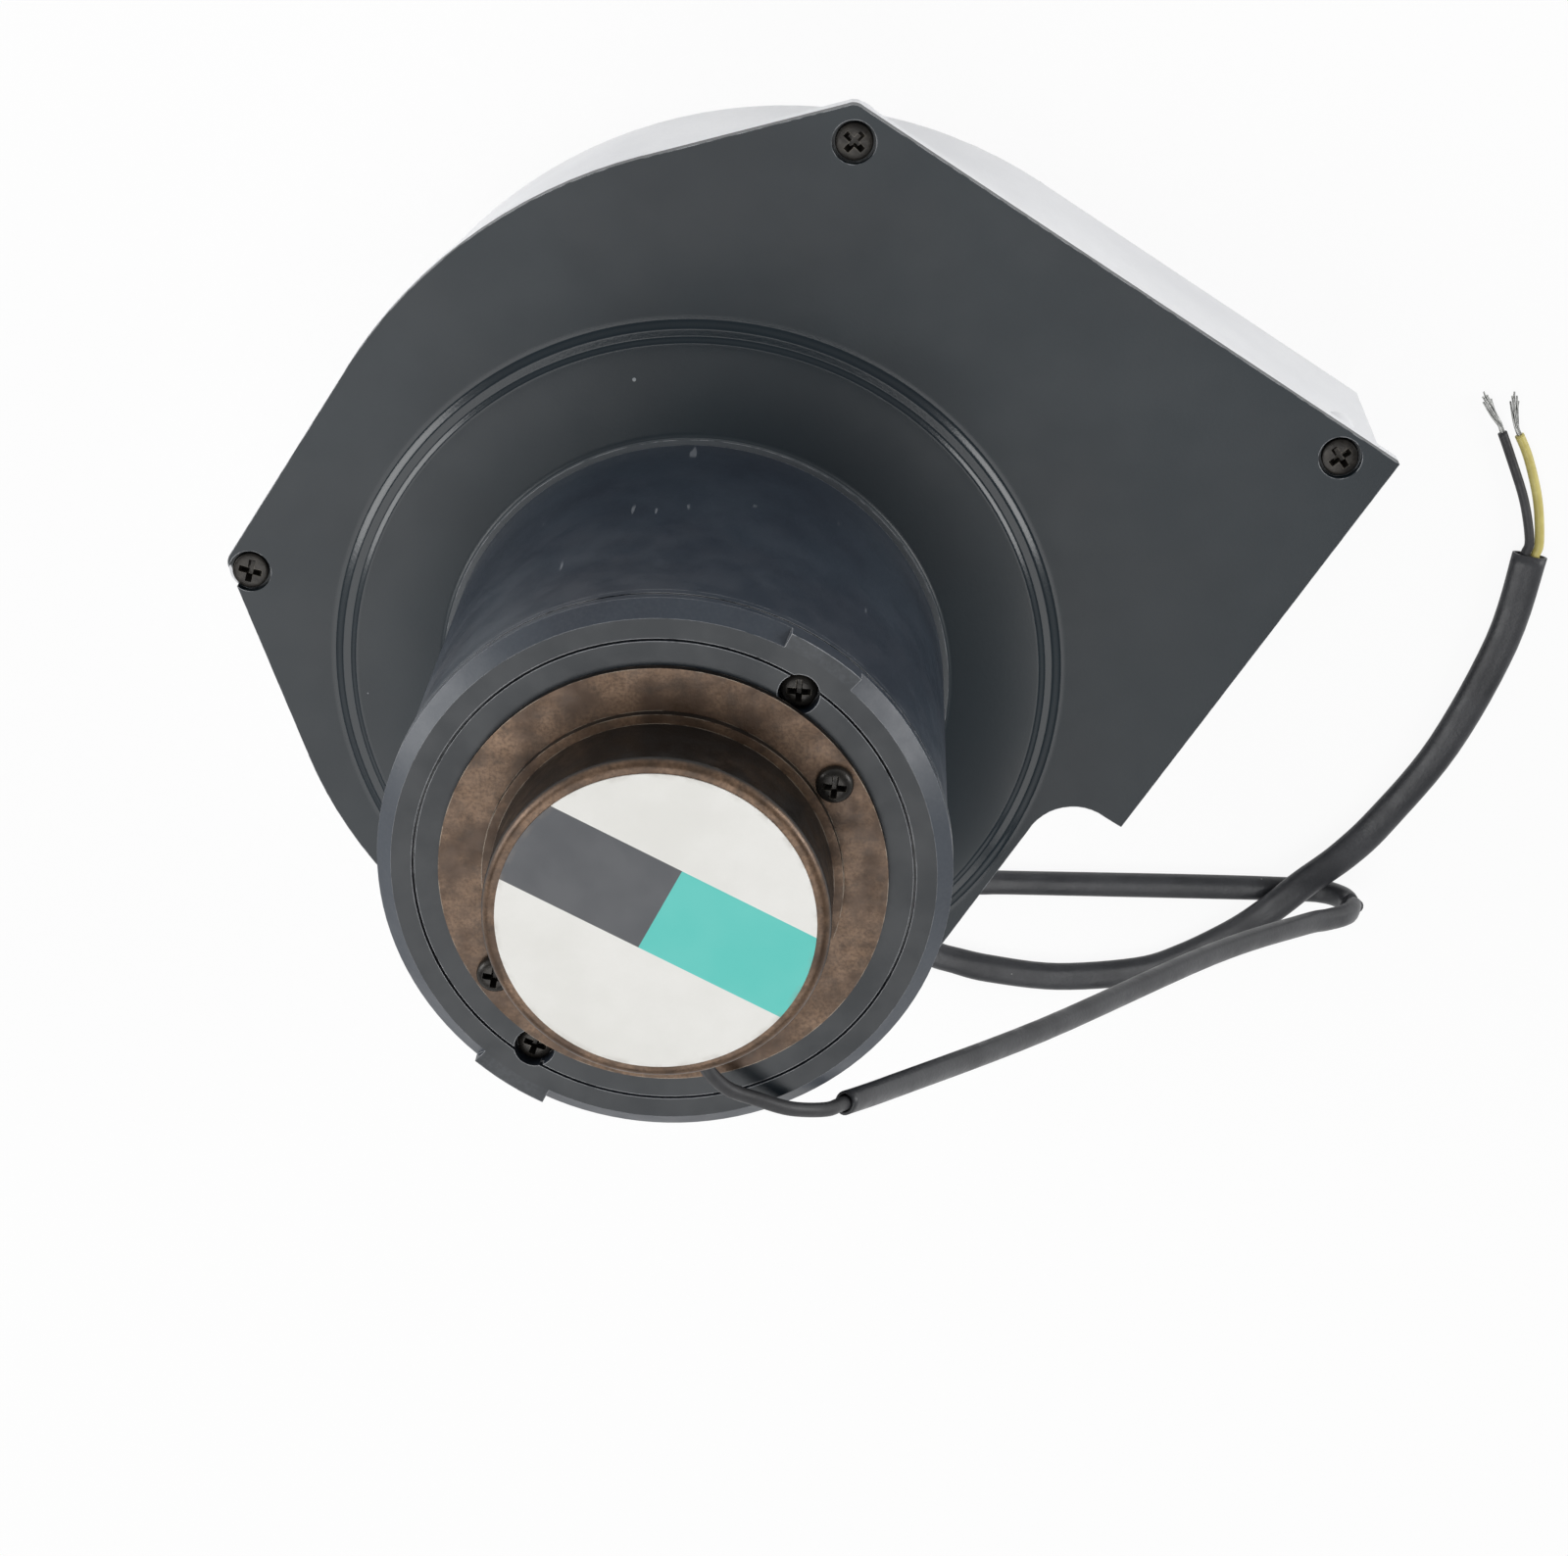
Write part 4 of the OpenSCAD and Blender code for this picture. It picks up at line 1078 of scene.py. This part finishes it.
def sweep(path: Sequence[Vector], order: Sequence[int],
          section: Callable[[int], Sequence[Pair]]) -> bmesh.types.BMesh:
    """Sweeps a section along a path, level with the table.

    Args:
        path: Points of the path.
        order: The path's points that the section goes through in turn.
        section: Gives the section at a step of the order, as distances to the side and up, in metres.

    Returns:
        The mesh, with both ends closed.
    """
    made = bmesh.new()
    axes = cross_axes(path)
    rings = [[made.verts.new(path[i] + axes[i][0] * x + axes[i][1] * y) for x, y in section(step)]
             for step, i in enumerate(order)]
    for low, high in zip(rings, rings[1:]):
        join_rings(made, low, high)
    made.faces.new(rings[0])
    made.faces.new(list(reversed(rings[-1])))
    return made


@dataclass(frozen=True)
class Strands:
    """The bared strands of the wires, which twist and spread towards their tips. Millimetres."""

    routes: tuple[tuple[Point, ...], ...] = (
        ((138.59, 26.42, 1.2), (138, 27.9, 1.2), (136.8, 29.8, 1.2), (135.2, 32.8, 1)),
        ((141.59, 26.02, 1.2), (141, 27.4, 1.2), (140.6, 29.6, 1.2), (140.2, 32.8, 1)))
    path_steps: int = 5
    across: float = 0.34
    sides: int = 8
    count: int = 9
    bundle: float = 1.1
    spread: float = 0.55
    fan: float = 2.399
    twist: float = 1.6
    flatness: float = 0.7
    tip_reach: float = 0.9
    tip_wave: float = 5.1

    def line(self, path: Sequence[Vector], number: int) -> list[Vector]:
        """Gives the line of one strand.

        Args:
            path: Points of the wire's path.
            number: Number of the strand.

        Returns:
            Points of the line.
        """
        share = math.sqrt(number / self.count)
        line = []
        for i, (side, over) in enumerate(cross_axes(path)):
            t = i / (len(path) - 1)
            r = share * (self.bundle * self.across + self.spread * t * t) * MM
            a = self.fan * number + self.twist * t
            tip = over.cross(side) * (self.tip_reach * MM * math.sin(self.tip_wave * number) * t * t)
            line.append(path[i] + side * (r * math.cos(a)) + over * (r * math.sin(a) * self.flatness) + tip)
        return line

    def build(self) -> bpy.types.Object:
        """Builds the strands of both wires.

        Returns:
            The piece.
        """
        curve = bpy.data.curves.new("strand_lines", "CURVE")
        curve.dimensions = "3D"
        for route in self.routes:
            path = spline(route, self.path_steps)
            for number in range(self.count):
                drawn = curve.splines.new("POLY")
                drawn.points.add(len(path) - 1)
                for point, place in zip(drawn.points, self.line(path, number)):
                    point.co = (*place, 1.0)
        tree = NodeTree("strands_along_lines")
        radius = tree.input("Strand radius", "Float")
        ring = tree.add("GeometryNodeCurvePrimitiveCircle", {"Resolution": self.sides, "Radius": radius})
        tube = tree.add("GeometryNodeCurveToMesh", {
            "Curve": tree.source.outputs[0], "Profile Curve": ring.outputs[0], "Fill Caps": True})
        tree.close(tube.outputs[0])
        base = add_object("strand_lines", curve)
        finish = MATERIALS[Slot.TINNED_STRAND]
        mesh = tree.run(base, {"Strand radius": self.across / 2 * MM, "Finish": finish})
        bpy.data.objects.remove(base)
        return settle(add_object("bared_strands", mesh), Body.CASING, "wire_ends")


@dataclass(frozen=True)
class Sleeve:
    """The sleeve round the lead, flatter towards its end, with open mouths. Millimetres."""

    route: tuple[Point, ...] = (
        (26.2, -40.3, 128), (34, -43.5, 116), (57.7, -51.1, 82), (88.5, -56.1, 42.5), (106.6, -60.2, 21.4),
        (111.8, -61.6, 16), (115.3, -62.2, 12.7), (117, -62.4, 9.9), (117, -62.5, 6.5), (115.3, -62.5, 3.7),
        (112.5, -62.4, 2), (108.8, -62.2, 1.8), (92, -61.9, 1.8), (57, -61.7, 1.8), (49.6, -61.7, 1.8),
        (44.6, -61.7, 1.8), (40.6, -62.8, 1.8), (37.7, -65.7, 1.8), (36.6, -69.7, 1.8), (37.7, -73.7, 1.8),
        (40.6, -76.6, 1.8), (44.8, -78, 1.8), (51.4, -79.6, 1.8), (64, -81, 1.8), (78.9, -79.6, 1.8),
        (87.5, -76.5, 1.9), (95.3, -71.6, 3), (102, -65.4, 5.2), (108.5, -59.4, 5.3), (115.9, -54.2, 3.4),
        (122.5, -47.6, 2), (132.8, -32.8, 1.8), (141.6, -12.6, 1.8), (145.2, 4, 1.8))
    start: Pair = (3.9, 3.4)
    end: Pair = (6.4, 3.0)
    wall: float = 0.45
    mouth_depth: float = 5.0
    mouth_steps: int = 2
    squareness: float = 0.9
    ripple_waves: Pair = (83.0, 25.0)
    ripple_lag: float = 1.0
    ripple: Pair = (0.05, 0.06)
    pinch: float = 0.18
    pinch_reach: float = 0.35
    pinch_wave: float = 47.0

    def section(self, share: float, inset: float, sides: int) -> list[Pair]:
        """Gives the sleeve's section, slightly uneven along its length.

        Args:
            share: Share of its length.
            inset: Distance inside its outer face, in millimetres.
            sides: Number of points.

        Returns:
            The section's points, in metres.
        """
        fast, slow = self.ripple_waves
        ripple = 0.5 + 0.5 * math.sin(fast * share) * math.sin(slow * share + self.ripple_lag)
        w, h = (a + (b - a) * share for a, b in zip(self.start, self.end))
        w = w / 2 * (1.0 - self.ripple[0] * (1.0 - ripple)) - inset
        h = h / 2 * (1.0 - self.ripple[1] * ripple) - inset
        pressed = self.pinch * share * (0.5 + 0.5 * math.sin(self.pinch_wave * share))
        points = []
        for c, s in circle(sides, start=0.5):
            pinched = h * (1.0 - pressed * math.exp(-((c / self.pinch_reach) ** 2)))
            points.append((math.copysign(abs(c) ** self.squareness, c) * w * MM,
                           math.copysign(abs(s) ** self.squareness, s) * pinched * MM))
        return points

    def build(self, path_steps: int, sides: int) -> bpy.types.Object:
        """Builds the sleeve.

        Args:
            path_steps: Number of steps between two points of its route.
            sides: Number of faces round it.

        Returns:
            The piece.
        """
        path = spline(self.route, path_steps)
        last = len(path) - 1
        ends = ((path[1] - path[0]).length, (path[last] - path[last - 1]).length)
        ahead, behind = (max(self.mouth_steps, round(self.mouth_depth * MM / step)) for step in ends)
        # The section starts deep in one mouth, runs out over the sleeve and ends deep in the other mouth.
        order = [*range(ahead, -1, -1), *range(last + 1), *range(last, last - behind - 1, -1)]
        insets = [self.wall] * (ahead + 1) + [0.0] * (last + 1) + [self.wall] * (behind + 1)
        made = sweep(path, order, lambda step: self.section(order[step] / last, insets[step], sides))
        piece = mesh_object("sleeve", made, Slot.SLEEVE_JACKET)
        return settle(piece, Body.CASING, "cord_sleeve")


@dataclass(frozen=True)
class Cord:
    """The lead with its sleeve, and the two wires at its end. Millimetres."""

    lead_d: float = 2.2
    wire_d: float = 1.7
    sides: int = 20
    path_steps: int = 6
    lead_route: tuple[Point, ...] = (
        (5.5, -23.8, 141.3), (6.4, -27.7, 141.3), (9.2, -31.7, 139.9), (13.4, -34.4, 138),
        (18.3, -36.8, 136.4), (23.4, -39.1, 132.3))
    black_route: tuple[Point, ...] = (
        (143.5, 0.3, 1.8), (144.33, 4.21, 1.8), (144.89, 6.81, 1.8), (143.4, 14, 1.4), (140.4, 22, 1.2),
        (138.6, 26.4, 1.2))
    yellow_route: tuple[Point, ...] = (
        (145.24, -0.08, 1.8), (146.09, 3.83, 1.8), (146.65, 6.42, 1.8), (145.8, 14, 1.4), (143.6, 21.6, 1.2),
        (141.6, 26, 1.2))
    sleeve: Sleeve = Sleeve()
    strands: Strands = Strands()

    def build(self) -> None:
        path = spline(self.lead_route + self.sleeve.route, self.path_steps)
        black = spline(self.black_route, self.path_steps)
        yellow = spline(self.yellow_route, self.path_steps)
        lead = self.round_cord("lead", path, self.lead_d, Slot.LEAD_JACKET, "lead_cable")
        pieces = [
            self.sleeve.build(self.path_steps, self.sides),
            self.round_cord("wire_black_jacket", black, self.wire_d, Slot.LEAD_JACKET, "wire_black"),
            self.round_cord("wire_yellow_jacket", yellow, self.wire_d, Slot.YELLOW_JACKET, "wire_yellow"),
            self.strands.build()]

    def round_cord(self, name: str, path: Sequence[Vector], across: float, slot: Slot,
                   node: str) -> bpy.types.Object:
        """Builds a round cord along a path.

        Args:
            name: Name of the piece.
            path: Points of its path.
            across: Its diameter, in millimetres.
            slot: Slot of its finish.
            node: The CAD node that it stands for.

        Returns:
            The piece.
        """
        r = across / 2 * MM
        outline = [(r * c, r * s) for c, s in circle(self.sides, start=0.5)]
        made = sweep(path, range(len(path)), lambda step: outline)
        return settle(mesh_object(name, made, slot), Body.CASING, node)


@dataclass(frozen=True)
class Fastener:
    """A screw with a domed head and a cross recess, or a rivet without one. Millimetres."""

    name: str
    node: str
    slot: Slot
    head_r: float
    head_h: float
    shank_r: float
    length: float
    dome: float
    recess: float
    seed: int
    steps: int = 40
    tip_bevel: Pair = (0.2, 0.25)
    head_bevel: float = 0.1
    edge_share: float = 0.3
    edge_most: float = 0.25
    dome_rings: int = 6
    dome_power: float = 0.55
    cross_reach: float = 0.62
    cross_width: float = 0.17
    cross_mouth: float = 1.12
    cross_floor: float = 0.6
    cut_above: float = 0.3
    seat_reach: float = 4.0

    def form(self) -> bpy.types.Object:
        """Builds one fastener with the top of its head at the origin.

        Returns:
            An object to copy, which is removed later.
        """
        tip, seat = -self.head_h - self.length, -self.head_h
        crown = self.dome + min(self.edge_most, self.edge_share * self.head_h)
        inward, upward = self.tip_bevel
        profile = [(0.0, tip), (self.shank_r - inward, tip), (self.shank_r, tip + upward),
                   (self.shank_r, seat), (self.head_r - self.head_bevel, seat),
                   (self.head_r, seat + self.head_bevel), (self.head_r, -crown)]
        for k in range(1, self.dome_rings):
            turn = FULL_TURN / 4 * k / self.dome_rings
            profile.append((self.head_r * math.cos(turn) ** self.dome_power, crown * math.sin(turn) - crown))
        profile.append((0.0, 0.0))
        made = bmesh.new()
        revolve(made, profile, self.steps)
        head = mesh_object(self.name + "_form", made, self.slot)
        if self.recess:
            self.cut(head)
        head.data.shade_smooth()
        head.data.set_sharp_from_angle(angle=SHARP_ANGLE)
        return head

    def cut(self, head: bpy.types.Object) -> None:
        """Cuts the tapered cross recess.

        Args:
            head: The fastener without a recess.
        """
        reach, half = self.cross_reach * self.head_r, self.cross_width * self.head_r
        arm = [(reach, -half), (reach, half), (half, half)]
        quarters = ((1, 0), (0, 1), (-1, 0), (0, -1))
        outline = [(x * c - y * s, x * s + y * c) for c, s in quarters for x, y in arm]
        levels = ((self.cross_floor, -self.recess), (self.cross_mouth, self.cut_above))
        made = bmesh.new()
        floor, mouth = ([made.verts.new((x * scale * MM, y * scale * MM, z * MM)) for x, y in outline]
                        for scale, z in levels)
        join_rings(made, floor, mouth)
        made.faces.new(mouth)
        made.faces.new(list(reversed(floor)))
        cutter = mesh_object(self.name + "_recess", made, self.slot, smooth=False)
        modifier = head.modifiers.new("recess", "BOOLEAN")
        modifier.operation = "DIFFERENCE"
        modifier.solver = "EXACT"
        modifier.object = cutter
        head.data = plain_mesh(head)
        bpy.data.objects.remove(cutter)

    def build(self, tree: NodeTree) -> bpy.types.Object:
        """Sets a fastener on each of its seats.

        Args:
            tree: The tree that copies a form to points.

        Returns:
            The piece.
        """
        form = self.form()
        points = bpy.data.meshes.new(self.name)
        places = seats(self.node, self.seat_reach * self.head_r * MM)
        points.from_pydata([tuple(p) for p in places], [], [])
        piece = add_object(self.name, points)
        piece.data = tree.run(piece, {"Form": form, "Seed": self.seed, "Finish": MATERIALS[self.slot]})
        bpy.data.objects.remove(form)
        return settle(piece, Body.CASING, self.node)


@dataclass(frozen=True)
class Fasteners:
    """The screws and rivets that show. Millimetres."""

    kinds: tuple[Fastener, ...] = (
        Fastener("plate_screw_set", "plate_screws", Slot.BLACK_SCREW, head_r=3.0, head_h=1.2, shank_r=1.5,
                 length=8.0, dome=0.15, recess=1.7, seed=4),
        Fastener("bracket_screw_set", "bracket_screws", Slot.BLACK_SCREW, head_r=2.7, head_h=1.9, shank_r=1.5,
                 length=6.0, dome=0.9, recess=2.0, seed=7),
        Fastener("cover_screw_set", "end_cover_screws", Slot.BLACK_SCREW, head_r=2.7, head_h=1.9, shank_r=1.5,
                 length=5.0, dome=0.9, recess=2.0, seed=2),
        Fastener("inlet_rivet_set", "inlet_rivets", Slot.RIVET_METAL, head_r=2.1, head_h=0.7, shank_r=1.2,
                 length=3.2, dome=0.5, recess=0.0, seed=3),
    )

    @staticmethod
    def tree() -> NodeTree:
        """Makes the tree that sets a form on points, each with a turn of its own.

        Returns:
            The tree.
        """
        tree = NodeTree("fasteners_on_seats")
        form = tree.add("GeometryNodeObjectInfo", {"Object": tree.input("Form", "Object")})
        seed = tree.input("Seed", "Int")
        turn = tree.add("FunctionNodeRandomValue", {"Min": 0.0, "Max": FULL_TURN, "Seed": seed},
                        data_type="FLOAT")
        number = next(s for s in turn.outputs if s.enabled)
        tree.close(tree.turned_copies(tree.source.outputs[0], form.outputs["Geometry"], number))
        return tree

    def build(self) -> None:
        """Builds each kind on its seats."""
        tree = self.tree()
        for kind in self.kinds:
            kind.build(tree)


@dataclass(frozen=True)
class Impeller:
    """Squirrel-cage impeller: an eye ring and a back disc joined by forward-curved vanes. Millimetres."""

    diameter: float = 100.0
    width: float = 40.0
    base: float = 6.5
    vane_depth: float = 9.0
    vane_count: int = 40
    vane_r: float = 7.5
    vane_t: float = 0.7
    vane_lean: float = 0.72
    vane_inset: float = 0.1
    vane_bite: float = 0.25
    vane_points: int = 10
    disc_t: float = 1.0
    disc_roll: float = 0.25
    bore_r: float = 9.03
    steps: int = 120

    def vane_centre(self) -> Pair:
        """Returns the centre of a vane's curve."""
        return self.diameter / 2 - self.vane_lean * self.vane_depth, -self.vane_r

    def vane_turn(self, r: float) -> float:
        """Finds where a vane is at a distance from the shaft.

        Args:
            r: The distance.

        Returns:
            The turn about the vane's centre, in radians.
        """
        x, y = self.vane_centre()
        away, edge = math.hypot(x, y), self.vane_r + self.vane_t / 2
        opening = math.acos((away * away + edge * edge - r * r) / (2 * away * edge))
        return math.atan2(-y, -x) - opening

    def disc(self, inner: float, low: float) -> list[Pair]:
        """Gives the section of a disc with a rolled rim.

        Args:
            inner: Radius of its hole.
            low: Height of its lower face.

        Returns:
            Distance from the axis and height of each point.
        """
        rim, high, roll = self.diameter / 2, low + self.disc_t, self.disc_roll * self.disc_t
        return [(inner, low), (rim - roll, low), (rim, low + roll), (rim, high - roll), (rim - roll, high),
                (inner, high)]

    def tree(self) -> NodeTree:
        """Makes the tree that sets the vanes round the shaft and joins them to the discs.

        Returns:
            The tree.
        """
        tree = NodeTree("vanes_round_shaft")
        count = tree.input("Vanes", "Int")
        arc = tree.add("GeometryNodeCurveArc", {
            "Resolution": self.vane_points, "Radius": tree.input("Vane radius", "Float"),
            "Start Angle": tree.input("Start angle", "Float"),
            "Sweep Angle": tree.input("Sweep angle", "Float")})
        sheet = tree.add("GeometryNodeCurvePrimitiveQuadrilateral", {
            "Width": tree.input("Thickness", "Float"), "Height": tree.input("Height", "Float")})
        vane = tree.add("GeometryNodeCurveToMesh", {
            "Curve": arc.outputs[0], "Profile Curve": sheet.outputs[0], "Fill Caps": True})
        placed = tree.add("GeometryNodeTransform", {
            "Geometry": vane.outputs[0], "Translation": tree.input("Vane centre", "Vector")})
        points = tree.add("GeometryNodeMeshLine", {"Count": count, "Offset": (0.0, 0.0, 0.0)})
        number = tree.add("GeometryNodeInputIndex").outputs[0]
        turn = tree.times(number, tree.value("DIVIDE", FULL_TURN, count))
        vanes = tree.turned_copies(points.outputs[0], placed.outputs[0], turn)
        both = tree.add("GeometryNodeJoinGeometry", {"Geometry": vanes})
        tree.feed(both.inputs[0], tree.source.outputs[0])
        tree.close(both.outputs[0])
        return tree

    def build(self) -> bpy.types.Object:
        """Builds the impeller.

        Returns:
            The piece.
        """
        rim, eye = self.diameter / 2, self.diameter / 2 - self.vane_depth
        made = bmesh.new()
        revolve(made, self.disc(eye, self.base), self.steps)
        revolve(made, self.disc(self.bore_r, self.base + self.width - self.disc_t), self.steps)
        piece = mesh_object("impeller_wheel", made, Slot.TURNED_ALLOY)
        start, end = self.vane_turn(rim - self.vane_inset), self.vane_turn(eye + self.vane_inset)
        x, y = self.vane_centre()
        # The vanes reach into both discs.
        vane_h = self.width - 2.0 * (1.0 - self.vane_bite) * self.disc_t
        piece.data = self.tree().run(piece, {
            "Vanes": self.vane_count, "Vane radius": self.vane_r * MM,
            "Start angle": start, "Sweep angle": end - start,
            "Thickness": self.vane_t * MM, "Height": vane_h * MM,
            "Vane centre": (x * MM, y * MM, (self.base + self.width / 2) * MM),
            "Finish": MATERIALS[Slot.TURNED_ALLOY]})
        piece.data.set_sharp_from_angle(angle=SHARP_ANGLE)
        return settle(piece, Body.ROTOR, "impeller")


@dataclass(frozen=True)
class PressedStep:
    """A step pressed into the plate, which rises towards the motor. Millimetres."""

    foot_r: float
    width: float
    rise: float

    def height(self, r: float) -> float:
        """Returns its height at a distance from the shaft's axis."""
        share = min(1.0, max(0.0, (self.foot_r - r) / self.width))
        return self.rise * share * share * (3.0 - 2.0 * share)


@dataclass(frozen=True)
class MotorPlate:
    """The sheet under the motor, which rises to it in two pressed steps and a dish. Millimetres."""

    face: float = 54.0
    neck_r: float = 41.6
    rim_r: float = 60.2
    dish_r: float = 55.8
    dish_h: float = 2.2
    dish_bow: float = 1.6
    pressed_steps: tuple[PressedStep, ...] = (
        PressedStep(foot_r=60.15, width=1.6, rise=0.85), PressedStep(foot_r=57.5, width=1.1, rise=0.6))
    fillet: float = 0.8
    fillet_turns: Point = (30.0, 60.0, 90.0)
    rings: int = 150
    steps: int = 192
    weld: float = 2e-6
    least_up: float = 0.2
    slack: float = 0.05
    rim_slack: float = 0.02

    def height(self, r: float) -> float:
        """Returns the height of the pressed face at a distance from the shaft's axis."""
        dish = max(0.0, (self.dish_r - r) / (self.dish_r - self.neck_r)) ** self.dish_bow
        return self.face + sum(step.height(r) for step in self.pressed_steps) + self.dish_h * dish

    def profile(self) -> list[Pair]:
        """Gives the pressed face from its rim to the neck.

        Returns:
            Distance from the axis and height of each ring.
        """
        start, end = self.rim_r, self.neck_r + self.fillet
        radii = [start + (end - start) * (k + 1) / self.rings for k in range(self.rings)]
        points = [(r, self.height(r)) for r in radii]
        low = self.height(end)
        for turn in self.fillet_turns:
            a = math.radians(turn)
            points.append((end - self.fillet * math.sin(a), low + self.fillet * (1.0 - math.cos(a))))
        return points

    def is_pressed(self, facet: bmesh.types.BMFace) -> bool:
        """Tells whether a facet of the CAD plate belongs to its pressed upper face.

        Args:
            facet: The facet.

        Returns:
            True if it does.
        """
        inner, outer, low = self.neck_r - self.slack, self.rim_r + self.rim_slack, self.face - self.slack
        corners = [(v.co.xy.length / MM, v.co.z / MM) for v in facet.verts]
        return facet.normal.z >= self.least_up and all(inner < r < outer and z > low for r, z in corners)

    def build(self) -> bpy.types.Object:
        """Builds the plate on a copy of the CAD plate, with its pressed face drawn anew.

        Returns:
            The piece.
        """
        bare = frame["nodes"]["motor_plate"].data.copy()
        # The stored normals belong to the loose triangles and would shade the merged copy wrongly.
        bare.attributes.remove(bare.attributes["custom_normal"])
        made = bmesh.new()
        made.from_mesh(bare)
        bpy.data.meshes.remove(bare)
        bmesh.ops.remove_doubles(made, verts=made.verts, dist=self.weld)
        pressed = [facet for facet in made.faces if self.is_pressed(facet)]
        bmesh.ops.delete(made, geom=pressed, context="FACES")
        rims = [edge for edge in made.edges if edge.is_boundary]
        split = 0.5 * (self.neck_r + self.rim_r) * MM
        outer = [edge for edge in rims if edge.verts[0].co.xy.length > split]
        inner = [edge for edge in rims if edge.verts[0].co.xy.length < split]
        rings = [turned_ring(made, r, z, self.steps) for r, z in self.profile()]
        for low, high in zip(rings, rings[1:]):
            join_rings(made, low, high)
        for rim, ring in ((outer, rings[0]), (inner, rings[-1])):
            loop = [made.edges.get((a, b)) for a, b in zip(ring, ring[1:] + ring[:1])]
            bmesh.ops.bridge_loops(made, edges=rim + loop)
        piece = mesh_object("motor_plate_sheet", made, Slot.DARK_PAINT)
        piece.data.set_sharp_from_angle(angle=SHARP_ANGLE)
        return settle(piece, Body.CASING, "motor_plate")


@dataclass(frozen=True)
class CadParts:
    """The CAD nodes that stay as they are and take a finish."""

    def dress(self) -> None:
        """Gives each node the material of its slot."""
        for row in frame["record"]["subparts"]:
            piece = frame["nodes"][row["node"]]
            material = MATERIALS[Slot(row["material_slot"])]
            if not piece.material_slots:
                piece.data.materials.append(material)
            for place in piece.material_slots:
                place.material = material
            LOG.info("%s: %s", row["node"], material.name)


def main() -> None:
    """Builds the camera, the pieces and the studio, and dresses the CAD nodes that stay."""
    logging.basicConfig(level=logging.INFO, format="%(message)s")
    Viewpoint().make()
    Cord().build()
    Fasteners().build()
    Impeller().build()
    MotorPlate().build()
    CadParts().dress()
    Studio().make()


if __name__ == "__main__":
    main()
